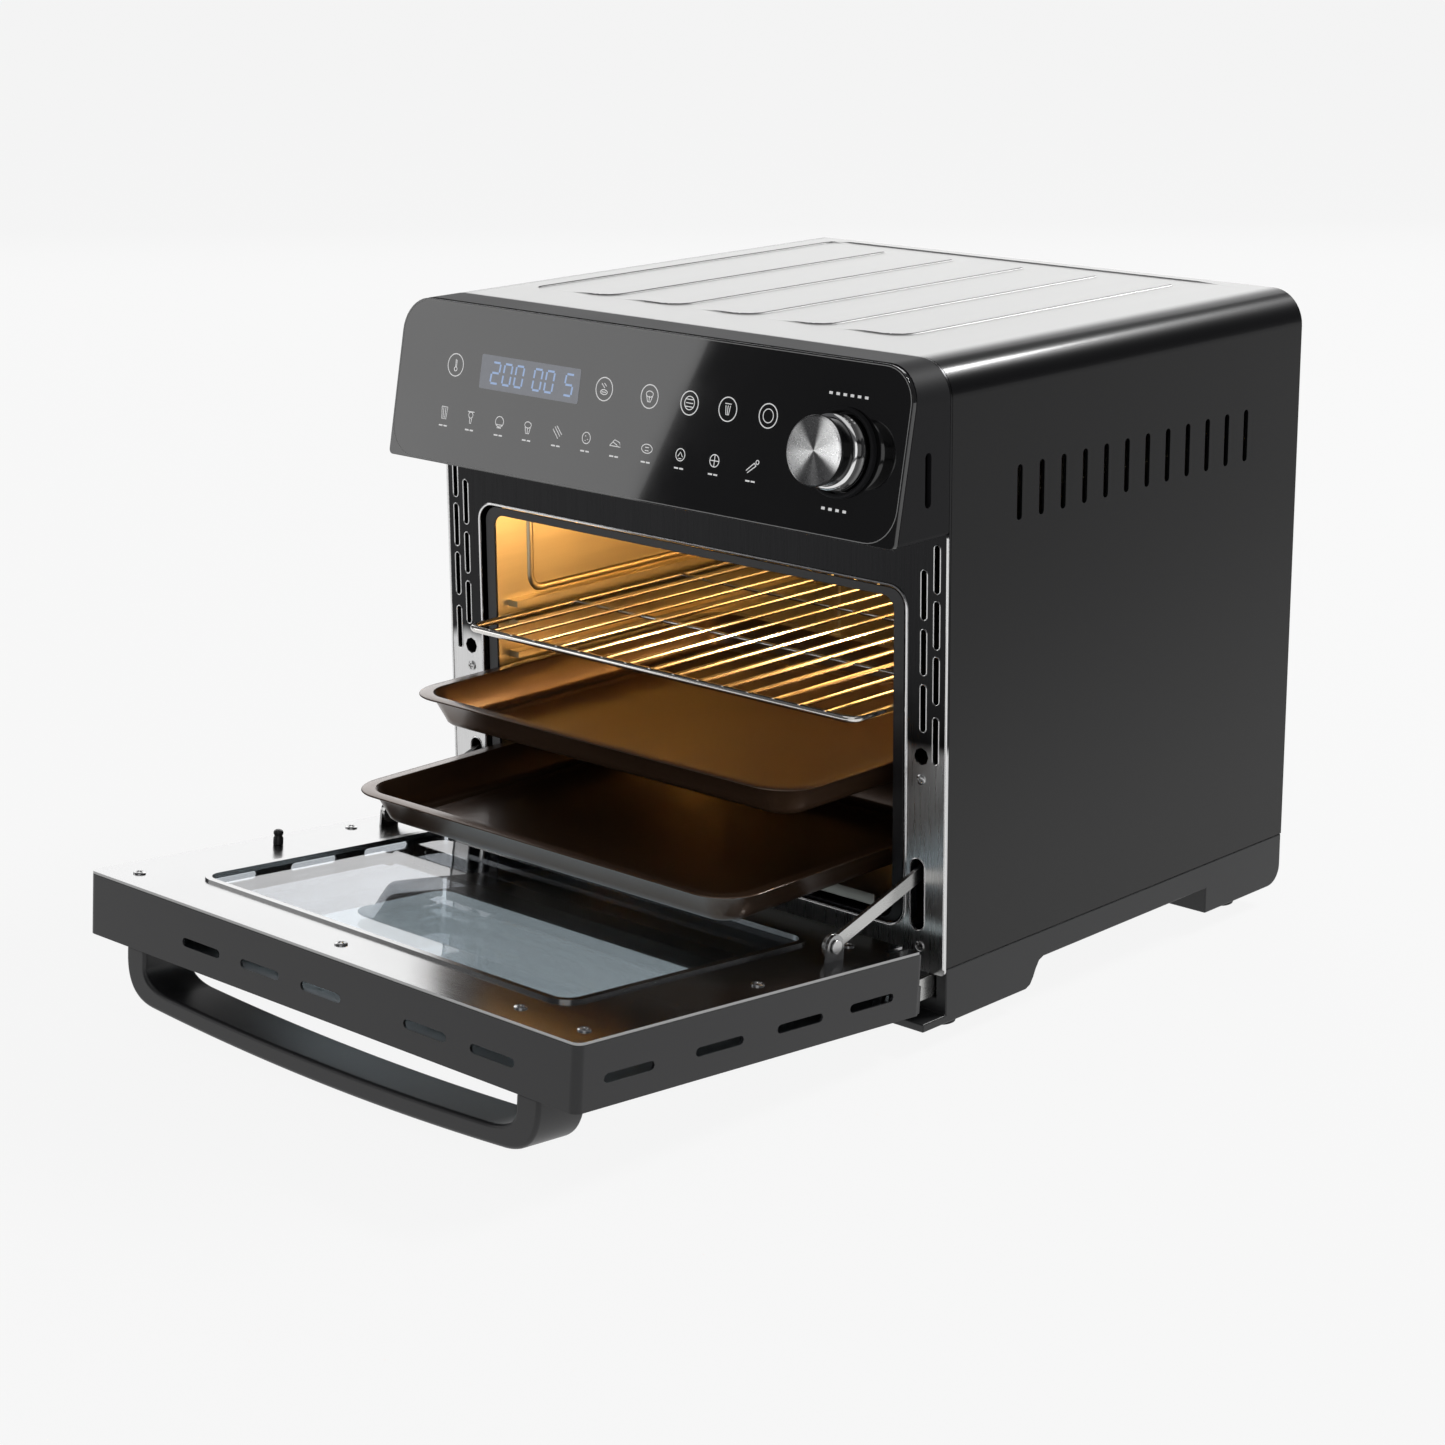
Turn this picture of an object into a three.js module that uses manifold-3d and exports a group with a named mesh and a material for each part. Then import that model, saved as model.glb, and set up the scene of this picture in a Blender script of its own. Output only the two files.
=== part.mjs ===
// Countertop toaster oven: steel shell, glazed drop-down door, sloping glass control
// panel with one push-and-turn knob, two trays and a rack on ledges, and a crumb tray.
// Millimetres. +X right, +Y towards the back, +Z up, feet on z = 0.
// The door hangs open and pulls the rack and both trays out with it.
import * as THREE from "three";
import { mergeVertices } from "three/addons/utils/BufferGeometryUtils.js";
import loadManifold from "manifold-3d";

const manifoldLibrary = await loadManifold();
manifoldLibrary.setup();
const { Manifold, Mesh: SolidMesh } = manifoldLibrary;

// ---------- Driving dimensions ----------

const gap = 0.3; // between pieces that are fastened together
const overcut = 1; // how far a cutting tool runs past the face that it cuts

// Body
const bodyWidth = 400;
const bodyDepth = 330;
const bodyHeight = 384;
const bodyCornerRadius = 21;
const halfWidth = bodyWidth / 2;
const seamHeight = 44; // top of the black base, where the steel cover starts
const sheet = 1.5; // thickness of the body's sheet metal

// Base and feet
const footHeight = 12;
const footRadius = 9;
const footInset = 25; // foot centre to the body's side
const footSetback = 28; // foot centre to the base's front and back
const baseWall = 3;
const archHeight = 28; // underside of the base between its feet blocks
const archStart = 74;
const archEnd = bodyDepth - 80;
const archSlope = 16;
const baseRearRadius = 12;
const toeReach = 18; // lip of the base in front of the body
const toeTop = 17;

// Control housing and its sloping glass
const fasciaBottom = bodyHeight - 94;
const fasciaReachBottom = 46;
const fasciaReachTop = 27;
const fasciaWall = 3;
const glassThickness = 3;
const fasciaVentLength = 30;
const fasciaVentWidth = 5;
const fasciaVentReach = 18;

// Knob, on the glass
const knobAcross = halfWidth - 44;
const knobUp = 46;
const knobRadius = 20;
const knobLength = 21.5;
const knobCapThickness = 1.6;
const knobTravel = 1.5;
const bezelWall = 2.5;
const bezelClearance = 2; // knob to the bezel
const bezelRadius = knobRadius + bezelClearance + bezelWall;
const bezelHeight = 3.5;
const shaftRadius = 3;
const encoderHalf = 6.5;
const shaftHoleClearance = 3; // shaft to the hole in the glass
const runningClearance = 0.3;

// Display and circuit boards
const displayWidth = 83;
const displayHeight = 20;
const displayAcross = -86.5;
const displayUp = 58;
const displayDepth = 8;
const boardThickness = 1.6;
const boardDepth = 14; // control board behind the glass

// Front frame and the mouth of the oven
const frameBottom = 40;
const mouthHalfWidth = halfWidth - 29;
const mouthBottom = 62;
const mouthTop = fasciaBottom - 33;
const mouthCorner = 12;
const flangeDepth = 9;
const wiringHalfWidth = 60; // window for the wires of the controls
const wiringMargin = 20;
const wiringCorner = 6;
const jambSlotWidth = 4;
const jambInnerColumn = halfWidth - 17;
const jambOuterColumn = halfWidth - 8;
const jambInnerSlots = [[178, 205], [210, 236], [241, 269]];
const jambOuterSlots = [[161, 188], [195, 222], [226, 253], [257, 284]];

// Cavity
const cavityHalfWidth = mouthHalfWidth - 11;
const cavityBack = bodyDepth - 33;
const cavityCeiling = fasciaBottom + 2;
const cavitySheet = 1.2;
const cavityLip = 6; // ceiling and floor past the walls
const cavityMouthTop = mouthTop - 7;
const ledgeReach = 8;
const ledgeThickness = 4;
const ledgeStart = 12;
const ledgeShort = 2; // ledges short of the wall's rear edge

// Rack and trays: height of each rim, where its front stands at home, how far it is out
const rackHeight = 185;
const rackHome = 14;
const rackPull = 42;
const trayHeight = 155;
const trayHome = 14;
const trayPull = 94;
const panHeight = 106;
const panHome = 48;
const panPull = 176;
const traySheet = 1.2;
const trayDepth = 20;
const trayRim = 7;
const trayTaper = 8;
const trayCorner = 22;
const trayClearance = 3; // rim to the cavity's side wall
const guideRoom = 3.5; // room above a rim, under its upper guide
const rackRod = 2.2;
const rackWire = 1.3;
const rackWireCount = 15;

// Crumb tray
const crumbBottom = 68;
const crumbHalfWidth = cavityHalfWidth - 15;
const crumbFront = 4;
const crumbLip = 7;
const crumbSheet = 1;
const crumbEdge = 5; // sides and rear edge
const crumbRoom = 4; // behind the tray
const shelfRoom = 3; // behind the rack and trays

// Heating rods
const heaterRadius = 4;
const heaterEndRadius = 2.8;
const heaterEndReach = 12; // past the cavity wall
const heaterShoulder = 2; // thick part short of the cavity wall
const upperHeaterHeight = cavityCeiling - 36;
const lowerHeaterHeight = 81;
const frontHeaterSetback = 64;
const rearHeaterSetback = cavityBack - 57;

// Convection fan, on the ceiling
const fanSetback = cavityBack / 2 + 1.5;
const grilleRadius = 62;
const grilleDrop = 26;
const grilleSlots = 16;
const grilleSlotWidth = 4;
const fanRadius = grilleRadius - 10;
const fanHeight = 15;
const fanBlades = 9;
const fanDrop = 6; // top of the fan below the ceiling
const fanHubRadius = 8;
const fanBladeSheet = 1.2;
const fanBladeTurn = 0.35;
const fanBladeInset = 12;
const motorRadius = 28;
const motorHeight = 42;
const motorFlange = 8;
const motorFlangeThickness = 2;

// Power board: boxes are [from the board's edge, from its front, width, length, height] and
// cans [from the edge, from the front, radius, height].
const powerBoardRise = 10; // above the cavity's ceiling
const powerBoardRoom = 10; // board to the motor's flange
const powerBoardWidth = 104;
const powerBoardLength = 140;
const powerBoardFront = 70;
const powerBoxes = [[62, 14, 32, 28, 25], [28, 14, 22, 16, 17], [10, 80, 24, 46, 13]];
const powerCans = [[82, 80, 9, 30], [54, 70, 6, 20]];

// Oven lamp, in the right wall
const lampSetback = cavityBack - 87;
const lampHeight = 225;
const lampRadius = 15;
const lampDepth = 26;
const lampLensRadius = 19;
const bulbRadius = 7;
const lampWall = 1.5;
const lensDome = 6;

// Temperature probe, in the back wall
const probeAcross = cavityHalfWidth - 40;
const probeHeight = 232;
const probeRadius = 2.5;
const probeReach = 36;
const probeFlange = 4;
const probeFlangeOut = 2; // flange in front of the back wall
const probeTail = 8;

// Door: measured from its hinge line, upwards and towards the oven when it is shut
const hingeHeight = 33;
const hingeReach = 31; // hinge line in front of the body
const doorOpenAngle = 85;
const doorThickness = 37;
const doorGap = 2.5; // shut door to the front frame
const doorTopGap = 3; // shut door to the control housing
const doorHeel = 12; // door below its hinge line
const doorCorner = 5;
const doorSkin = 1.5;
const heelChamfer = 5;
const windowHalfWidth = halfWidth - 52;
const windowBottom = 28;
const windowDrop = 42; // window below the door's top edge
const windowCorner = 10;
const beadWidth = 4;
const beadHeight = 1.5;
const paneThickness = 4;
const paneOverlap = 10;
const ventHeightInDoor = 15; // vent slots above the door's outer face
const ventWidth = 5;
const endVentLength = 33;
const endVents = [-97, -46, 5, 88, 139];
const sideVentLength = 36;
const sideVents = [31, 89, 151, 217];

// Door handle
const handleHalfLength = halfWidth - 30;
const handleReach = 38;
const handleBow = 6;
const handleBar = 11;
const handleLeg = 17;
const handleWidth = 34;
const handleSetback = 4; // handle to the door's top edge
const handleCorner = 26;

// Door peg and the switch that it presses
const pegAcross = halfWidth - 18;
const pegUp = 131;
const pegRadius = 3;
const pegTip = 2.2;
const pegLength = 9;
const pegHoleRadius = 5;
const switchRoom = 1.5; // shut door's peg to the switch
const switchWidth = 15;
const switchLength = 20;
const switchHeight = 24;
const terminalWidth = 6;
const terminalReach = 5;
const terminalHeight = 2;
const terminalSpread = 5;

// Hinges
const hingeAcross = halfWidth - 10;
const hingePlate = 3;
const hingePlateRadius = 6.5;
const hingePinRadius = 3;
const hingePinLength = 12.4;
const hingeSlit = 5;
const hingeBossRadius = 8;
const bracketBack = 60;
const bracketPadFront = 14; // where the bracket is bolted to the base

// Stay arms that hold the door at its open stop
const armAcross = halfWidth - 20;
const armThickness = 2.4;
const armHalfHeight = 4;
const armLugRadius = 7;
const armLength = 100;
const armPivotUp = 44;
const armPivotRise = 8; // pivot above the door's inner face
const armOpenAngle = 17; // slope of the arm with the door open
const armTab = 1.5;
const armSlotWidth = 10;
const armSlotBottom = 63;
const armSlotTop = 105;
const rivetRadius = 2.5;
const rivetHeadRadius = 4;
const rivetHead = 1;

// Side louvres, ribs on top, back panel
const louvreCount = 12;
const louvreStart = 60;
const louvreEnd = bodyDepth - 55.5;
const louvrePitch = (louvreEnd - louvreStart) / (louvreCount - 1);
const louvreBottom = 289;
const louvreTop = 320;
const louvreWidth = 4.5;
const ribHeight = 1;
const ribWidth = 6;
const ribStart = 45;
const ribEnd = bodyDepth - 34;
const ribColumns = [-100, -43, 14, 71, 128];
const ribHook = 31;
const outerRibColumn = 40 - halfWidth;
const outerRibEnd = halfWidth - 65;
const outerRibBack = bodyDepth - 12;
const hoodHalfWidth = 92;
const hoodReach = 18;
const hoodBottom = bodyHeight - 34;
const hoodWall = 2.5;
const hoodDrop = 4; // top of the hood below the body's top
const rearSlotCount = 9;
const rearSlotWidth = 5;
const rearSlotMargin = 6; // slots to the hood's bottom and top
const glandAcross = halfWidth - 50;
const glandHeight = 84;
const glandRadius = 9;
const glandBore = 4;
const glandReach = 14;
const glandInside = 8; // bush behind the rear panel
const glandFlange = 4;

// ---------- Derived places ----------

const fasciaHeight = bodyHeight - fasciaBottom;
const fasciaSlope = Math.atan2(fasciaReachBottom - fasciaReachTop, fasciaHeight);
const glassLength = fasciaHeight / Math.cos(fasciaSlope);
const doorInner = hingeReach - doorGap; // door's inner face, from the hinge line
const doorOuter = doorInner - doorThickness;
const doorTop = fasciaBottom - doorTopGap - hingeHeight;
const windowTop = doorTop - windowDrop;
const doorTurn = THREE.MathUtils.degToRad(doorOpenAngle);
const armPivotOut = doorInner + armPivotRise;
const wallTop = cavityCeiling - gap;
const frameBack = sheet;
const coverFront = frameBack + gap;
const panelInset = sheet + gap; // what fits inside the cover
const railHalfWidth = cavityHalfWidth - ledgeReach;
const rimHalfWidth = cavityHalfWidth - trayClearance;
const cavityRear = cavityBack - gap;
const cavityFloor = mouthBottom - cavitySheet - gap;
const shelfBack = cavityRear - shelfRoom;

// ---------- Solids ----------

function toSolid(geometry) {
  const bare = geometry.clone();
  bare.deleteAttribute("normal");
  bare.deleteAttribute("uv");
  const merged = mergeVertices(bare, 1e-4);
  return new Manifold(
    new SolidMesh({
      numProp: 3,
      vertProperties: merged.attributes.position.array,
      triVerts: new Uint32Array(merged.index.array),
    }),
  );
}

function toGeometry(solid) {
  const { numProp, numVert, vertProperties, triVerts } = solid.getMesh();
  const positions = new Float32Array(numVert * 3);
  for (let i = 0; i < numVert; i++) {
    positions.set(vertProperties.subarray(i * numProp, i * numProp + 3), i * 3);
  }
  const geometry = new THREE.BufferGeometry();
  geometry.setAttribute("position", new THREE.BufferAttribute(positions, 3));
  geometry.setIndex(new THREE.BufferAttribute(new Uint32Array(triVerts), 1));
  const faceted = geometry.toNonIndexed();
  faceted.computeVertexNormals();
  return faceted;
}

const join = (first, ...others) => others.reduce((all, one) => all.add(one), first);
const cut = (body, ...tools) => tools.reduce((left, tool) => left.subtract(tool), body);

// A block from its limits along X, Y and Z.
function block([x0, x1], [y0, y1], [z0, z1]) {
  const geometry = new THREE.BoxGeometry(x1 - x0, y1 - y0, z1 - z0);
  return toSolid(geometry.translate((x0 + x1) / 2, (y0 + y1) / 2, (z0 + z1) / 2));
}

const curveSteps = 5; // facets in a quarter turn of a large corner
const slotSteps = 1; // and of a slot's end

function extruded(shape, depth, steps) {
  return new THREE.ExtrudeGeometry(shape, { depth, bevelEnabled: false, curveSegments: steps });
}

// A shape drawn in X and Z, run from y0 to y1.
function alongY(shape, y0, y1, steps = curveSteps) {
  return toSolid(extruded(shape, y1 - y0, steps).rotateX(Math.PI / 2).translate(0, y1, 0));
}

// A shape drawn in Y and Z, run from x0 to x1.
function alongX(shape, x0, x1, steps = curveSteps) {
  const turn = new THREE.Matrix4().makeBasis(
    new THREE.Vector3(0, 1, 0),
    new THREE.Vector3(0, 0, 1),
    new THREE.Vector3(1, 0, 0),
  );
  return toSolid(extruded(shape, x1 - x0, steps).applyMatrix4(turn).translate(x0, 0, 0));
}

// A shape drawn in X and Y, run from z0 to z1.
function alongZ(shape, z0, z1, steps = curveSteps) {
  return toSolid(extruded(shape, z1 - z0, steps).translate(0, 0, z0));
}

function polygon(points) {
  return new THREE.Shape(points.map(([x, y]) => new THREE.Vector2(x, y)));
}

// A rectangle with a radius at each corner: lower left, lower right, upper right, upper left.
function roundedRectangle([x0, x1], [y0, y1], radii) {
  const [a, b, c, d] = Array.isArray(radii) ? radii : [radii, radii, radii, radii];
  const shape = new THREE.Shape();
  shape.moveTo(x0 + a, y0);
  shape.lineTo(x1 - b, y0);
  if (b > 0) shape.absarc(x1 - b, y0 + b, b, -Math.PI / 2, 0, false);
  shape.lineTo(x1, y1 - c);
  if (c > 0) shape.absarc(x1 - c, y1 - c, c, 0, Math.PI / 2, false);
  shape.lineTo(x0 + d, y1);
  if (d > 0) shape.absarc(x0 + d, y1 - d, d, Math.PI / 2, Math.PI, false);
  shape.lineTo(x0, y0 + a);
  if (a > 0) shape.absarc(x0 + a, y0 + a, a, Math.PI, Math.PI * 1.5, false);
  return shape;
}

// A slot with round ends, upright or lying.
const uprightSlot = (x, y0, y1, width) =>
  roundedRectangle([x - width / 2, x + width / 2], [y0, y1], width / 2 - 0.01);
const lyingSlot = (x, y, length, width) =>
  roundedRectangle([x - length / 2, x + length / 2], [y - width / 2, y + width / 2],
    width / 2 - 0.01);

const axisTurns = {
  x: new THREE.Euler(0, 0, -Math.PI / 2),
  y: new THREE.Euler(0, 0, 0),
  z: new THREE.Euler(Math.PI / 2, 0, 0),
};

// A solid of revolution from [radius, height] points, its height laid along an axis.
// The points run either way round; the surface always faces outwards.
function turned(points, axis, [x, y, z], steps = 16) {
  const profile = points.map(([radius, height]) => new THREE.Vector2(radius, height));
  if (THREE.ShapeUtils.area(profile) < 0) profile.reverse();
  const geometry = new THREE.LatheGeometry(profile, steps);
  const turn = new THREE.Matrix4().makeRotationFromEuler(axisTurns[axis]);
  return toSolid(geometry.applyMatrix4(turn).translate(x, y, z));
}

// A plain round rod from one end to the other of its axis.
function rod(radius, axis, [x, y, z], length, steps = 12) {
  return turned([[0, 0], [radius, 0], [radius, length], [0, length]], axis, [x, y, z], steps);
}

// ---------- Materials ----------

function material(color, roughness, metalness, extra = {}) {
  return new THREE.MeshStandardMaterial({ color, roughness, metalness, ...extra });
}

const coverPaint = () => material(0x3a3b3d, 0.35, 0.3);
const blackPaint = () => material(0x1d1e20, 0.5, 0.1);
const blackPlastic = () => material(0x18191b, 0.45, 0);
const glossBlack = () => material(0x0b0b0d, 0.12, 0);
const polishedSteel = () => material(0xc9cbcd, 0.16, 1);
const brushedSteel = () => material(0x8f9193, 0.35, 1);
const zincSteel = () => material(0x9c9f9e, 0.45, 0.9);
const bronzeEnamel = () => material(0x3a2417, 0.35, 0.6);
const darkEnamel = () => material(0x1a1a1a, 0.4, 0.3);
const aluminisedSteel = () => material(0xa39a85, 0.4, 0.8);
const clearGlass = () => material(0xcfe3df, 0.05, 0, { transparent: true, opacity: 0.3 });
const rubber = () => material(0x101010, 0.85, 0);
const greenBoard = () => material(0x1d4b32, 0.6, 0);
const displayBlue = () => material(0x5f6a72, 0.25, 0);
const warmBulb = () => material(0xffd9a0, 0.3, 0);
const quartz = () => material(0x8e8a84, 0.3, 0.2);

// ---------- Scene helpers ----------

function pieceIn(group, name, solid, itsMaterial) {
  const mesh = new THREE.Mesh(toGeometry(solid), itsMaterial);
  mesh.name = name;
  group.add(mesh);
  return mesh;
}

const sides = [["left", -1], ["right", 1]];

const oven = new THREE.Group();
const shell = new THREE.Group();
const cavity = new THREE.Group();
const controls = new THREE.Group(); // stands on the glass: X across, Y into the oven, Z up the slope
const door = new THREE.Group(); // stands on the hinge line, shut door upright
oven.add(shell, cavity, controls, door);
controls.position.set(0, -fasciaReachBottom, fasciaBottom);
controls.rotation.x = -fasciaSlope;
door.position.set(0, -hingeReach, hingeHeight);
door.rotation.x = doorTurn;

// ---------- Shell ----------

function bodyOutline(inset, bottom) {
  const top = bodyCornerRadius - inset;
  const limit = halfWidth - inset;
  return roundedRectangle([-limit, limit], [bottom, bodyHeight - inset], [0, 0, top, top]);
}

function topRibs() {
  const half = ribWidth / 2;
  const low = bodyHeight - sheet / 2;
  const high = bodyHeight + ribHeight;
  const hooks = ribColumns.map((x) =>
    polygon([
      [x - ribHook, ribStart - half],
      [x + half, ribStart - half],
      [x + half, ribEnd],
      [x - half, ribEnd],
      [x - half, ribStart + half],
      [x - ribHook, ribStart + half],
    ]),
  );
  const outer = polygon([
    [outerRibColumn - half, ribStart],
    [outerRibColumn + half, ribStart],
    [outerRibColumn + half, outerRibBack - half],
    [outerRibEnd, outerRibBack - half],
    [outerRibEnd, outerRibBack + half],
    [outerRibColumn - half, outerRibBack + half],
  ]);
  return [...hooks, outer].map((shape) => alongZ(shape, low, high));
}

function outerCover() {
  const outside = alongY(bodyOutline(0, seamHeight + gap), coverFront, bodyDepth);
  const inside = alongY(
    bodyOutline(sheet, seamHeight - overcut), coverFront - overcut, bodyDepth + overcut,
  );
  const louvres = Array.from({ length: louvreCount }, (_, i) =>
    uprightSlot(louvreStart + i * louvrePitch, louvreBottom, louvreTop, louvreWidth),
  );
  const slots = alongX(louvres, -halfWidth - overcut, halfWidth + overcut, slotSteps);
  return join(cut(outside, inside, slots), ...topRibs());
}

function rearPanel() {
  const plate = alongY(bodyOutline(panelInset, seamHeight + gap), bodyDepth - sheet, bodyDepth);
  const pitch = (2 * (hoodHalfWidth - hoodWall)) / (rearSlotCount + 1);
  const slots = Array.from({ length: rearSlotCount }, (_, i) =>
    uprightSlot(
      (i - (rearSlotCount - 1) / 2) * pitch, hoodBottom + rearSlotMargin,
      bodyHeight - hoodDrop - hoodWall - rearSlotMargin, rearSlotWidth,
    ),
  );
  const vents = alongY(slots, bodyDepth - sheet - overcut, bodyDepth + overcut, slotSteps);
  const hole = rod(
    glandRadius + gap, "y", [glandAcross, bodyDepth - sheet - overcut, glandHeight],
    sheet + 2 * overcut,
  );
  return cut(plate, vents, hole);
}

function rearVentHood() {
  const top = bodyHeight - hoodDrop;
  const front = bodyDepth + gap;
  const back = bodyDepth + hoodReach;
  const outside = alongX(
    roundedRectangle([front, back], [hoodBottom, top], [0, 3, 6, 0]),
    -hoodHalfWidth, hoodHalfWidth,
  );
  const inner = hoodHalfWidth - hoodWall;
  const inside = block(
    [-inner, inner], [front - overcut, back - hoodWall], [hoodBottom - overcut, top - hoodWall],
  );
  return cut(outside, inside);
}

// The base seen from the side; an inset draws the hollow inside it.
function baseProfile(inset) {
  const front = coverFront + inset;
  const back = bodyDepth - inset;
  const low = footHeight + inset;
  const high = archHeight + inset;
  const radius = baseRearRadius - inset;
  const top = inset > 0 ? seamHeight + overcut : seamHeight;
  const shape = new THREE.Shape();
  shape.moveTo(front, top);
  shape.lineTo(front, low);
  shape.lineTo(archStart - inset, low);
  shape.bezierCurveTo(
    archStart + archSlope / 2 - inset, low, archStart + archSlope / 2 - inset, high,
    archStart + archSlope - inset, high,
  );
  shape.lineTo(archEnd + inset, high);
  shape.lineTo(archEnd + inset, low);
  shape.lineTo(back - radius, low);
  shape.absarc(back - radius, low + radius, radius, -Math.PI / 2, 0, false);
  shape.lineTo(back, top);
  return shape;
}

function baseFrame() {
  const outside = alongX(baseProfile(0), -halfWidth, halfWidth);
  const inner = halfWidth - baseWall;
  const hollow = alongX(baseProfile(baseWall), -inner, inner);
  const toe = block(
    [-halfWidth, halfWidth], [-toeReach, coverFront + baseWall], [footHeight, toeTop],
  );
  const windowHalf = hingePlate / 2 + 1;
  const windows = sides.map(([, side]) =>
    block(
      [side * hingeAcross - windowHalf, side * hingeAcross + windowHalf],
      [coverFront - overcut, coverFront + baseWall + overcut],
      [hingeHeight - hingePlateRadius - 1, seamHeight + overcut],
    ),
  );
  return cut(join(cut(outside, hollow), toe), ...windows);
}

function foot(x, y) {
  const tip = footRadius - 1.5;
  return turned(
    [[0, 0], [tip, 0], [footRadius, 3], [footRadius, footHeight - gap], [0, footHeight - gap]],
    "z", [x, y, 0],
  );
}

const jambHoles = (side) => [
  ...jambInnerSlots.map(([low, high]) =>
    uprightSlot(side * jambInnerColumn, low, high, jambSlotWidth)),
  ...jambOuterSlots.map(([low, high]) =>
    uprightSlot(side * jambOuterColumn, low, high, jambSlotWidth)),
  uprightSlot(side * armAcross, armSlotBottom, armSlotTop, armSlotWidth),
  lyingSlot(side * pegAcross, hingeHeight + pegUp, 2 * pegHoleRadius + 0.1, 2 * pegHoleRadius),
];

function frontFrame() {
  const plate = alongY(
    roundedRectangle(
      [-halfWidth, halfWidth], [frameBottom, bodyHeight],
      [3, 3, bodyCornerRadius, bodyCornerRadius],
    ),
    0, frameBack,
  );
  const mouth = (inset) =>
    roundedRectangle(
      [-mouthHalfWidth - inset, mouthHalfWidth + inset],
      [mouthBottom - inset, mouthTop + inset],
      mouthCorner + inset,
    );
  const flange = alongY(mouth(cavitySheet), frameBack / 2, flangeDepth);
  const opening = alongY(mouth(0), -overcut, flangeDepth + overcut);
  const wiring = roundedRectangle(
    [-wiringHalfWidth, wiringHalfWidth],
    [fasciaBottom + wiringMargin, bodyHeight - wiringMargin], wiringCorner,
  );
  const holes = alongY(
    [...jambHoles(-1), ...jambHoles(1), wiring], -overcut, frameBack + overcut, slotSteps,
  );
  return cut(join(plate, flange), opening, holes);
}

function rearInletGland() {
  const flange = glandRadius + glandFlange;
  const back = sheet + glandInside;
  return turned(
    [
      [glandBore, 0],
      [glandRadius, 0],
      [glandRadius, back],
      [flange, back],
      [flange, back + 3],
      [glandRadius - 1, back + 4],
      [glandRadius - 2, back + glandReach],
      [glandBore, back + glandReach],
      [glandBore, 0],
    ],
    "y", [glandAcross, bodyDepth + gap - back, glandHeight],
  );
}

function hingeBracket(side) {
  const low = hingeHeight - hingePlateRadius;
  const high = hingeHeight + hingePlateRadius;
  const profile = new THREE.Shape();
  profile.moveTo(bracketBack, low);
  profile.lineTo(bracketBack, high);
  profile.lineTo(-hingeReach, high);
  profile.absarc(-hingeReach, hingeHeight, hingePlateRadius, Math.PI / 2, Math.PI * 1.5, false);
  const x = side * hingeAcross;
  const plate = alongX(profile, x - hingePlate / 2, x + hingePlate / 2);
  const wall = halfWidth - baseWall - gap;
  const limits = side > 0 ? [x, wall] : [-wall, x];
  const pad = block(limits, [bracketPadFront, bracketBack], [low, high]);
  const bore = rod(
    hingePinRadius + gap, "x", [x - hingePlate, -hingeReach, hingeHeight], 2 * hingePlate,
  );
  return cut(join(plate, pad), bore);
}

function hingePin(side) {
  const start = side * hingeAcross - hingePinLength / 2;
  return rod(hingePinRadius, "x", [start, -hingeReach, hingeHeight], hingePinLength);
}

function doorSwitch() {
  const x = -pegAcross;
  const z = hingeHeight + pegUp;
  const front = doorGap + pegLength + switchRoom;
  const back = front + switchLength;
  const halfTerminal = terminalWidth / 2;
  const terminals = [-terminalSpread, terminalSpread].map((rise) =>
    block(
      [x - halfTerminal, x + halfTerminal], [back - overcut, back + terminalReach],
      [z + rise - terminalHeight / 2, z + rise + terminalHeight / 2],
    ));
  const body = block(
    [x - switchWidth / 2, x + switchWidth / 2], [front, back],
    [z - switchHeight / 2, z + switchHeight / 2],
  );
  return join(body, ...terminals);
}

function powerBoard() {
  const low = cavityCeiling + powerBoardRise;
  const top = low + boardThickness;
  const across = motorRadius + motorFlange + powerBoardRoom;
  const plate = block(
    [-across - powerBoardWidth, -across], [powerBoardFront, powerBoardFront + powerBoardLength],
    [low, top],
  );
  const place = (fromMotor, fromFront) => [-across - fromMotor, powerBoardFront + fromFront];
  const boxes = powerBoxes.map(([fromMotor, fromFront, width, length, height]) => {
    const [x, y] = place(fromMotor, fromFront);
    return block([x - width, x], [y, y + length], [top - overcut / 2, top + height]);
  });
  const cans = powerCans.map(([fromMotor, fromFront, radius, height]) => {
    const [x, y] = place(fromMotor, fromFront);
    return rod(radius, "z", [x, y, top - overcut / 2], height);
  });
  return join(plate, ...boxes, ...cans);
}

pieceIn(shell, "outer_cover", outerCover(), coverPaint());
pieceIn(shell, "rear_panel", rearPanel(), zincSteel());
pieceIn(shell, "rear_vent_hood", rearVentHood(), blackPlastic());
pieceIn(shell, "base_frame", baseFrame(), blackPlastic());
pieceIn(shell, "front_frame", frontFrame(), polishedSteel());
pieceIn(shell, "cord_gland", rearInletGland(), rubber());
pieceIn(shell, "door_switch", doorSwitch(), blackPlastic());
pieceIn(shell, "power_board", powerBoard(), greenBoard());
for (const [sideName, side] of sides) {
  const x = side * (halfWidth - footInset);
  pieceIn(shell, `foot_front_${sideName}`, foot(x, footSetback), rubber());
  pieceIn(shell, `foot_rear_${sideName}`, foot(x, bodyDepth - footSetback), rubber());
  pieceIn(shell, `hinge_bracket_${sideName}`, hingeBracket(side), zincSteel());
  pieceIn(shell, `hinge_pin_${sideName}`, hingePin(side), polishedSteel());
}

// ---------- Cavity ----------

const heaters = [
  ["upper_front", frontHeaterSetback, upperHeaterHeight],
  ["upper_rear", rearHeaterSetback, upperHeaterHeight],
  ["lower_front", frontHeaterSetback, lowerHeaterHeight],
  ["lower_rear", rearHeaterSetback, lowerHeaterHeight],
];

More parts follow.
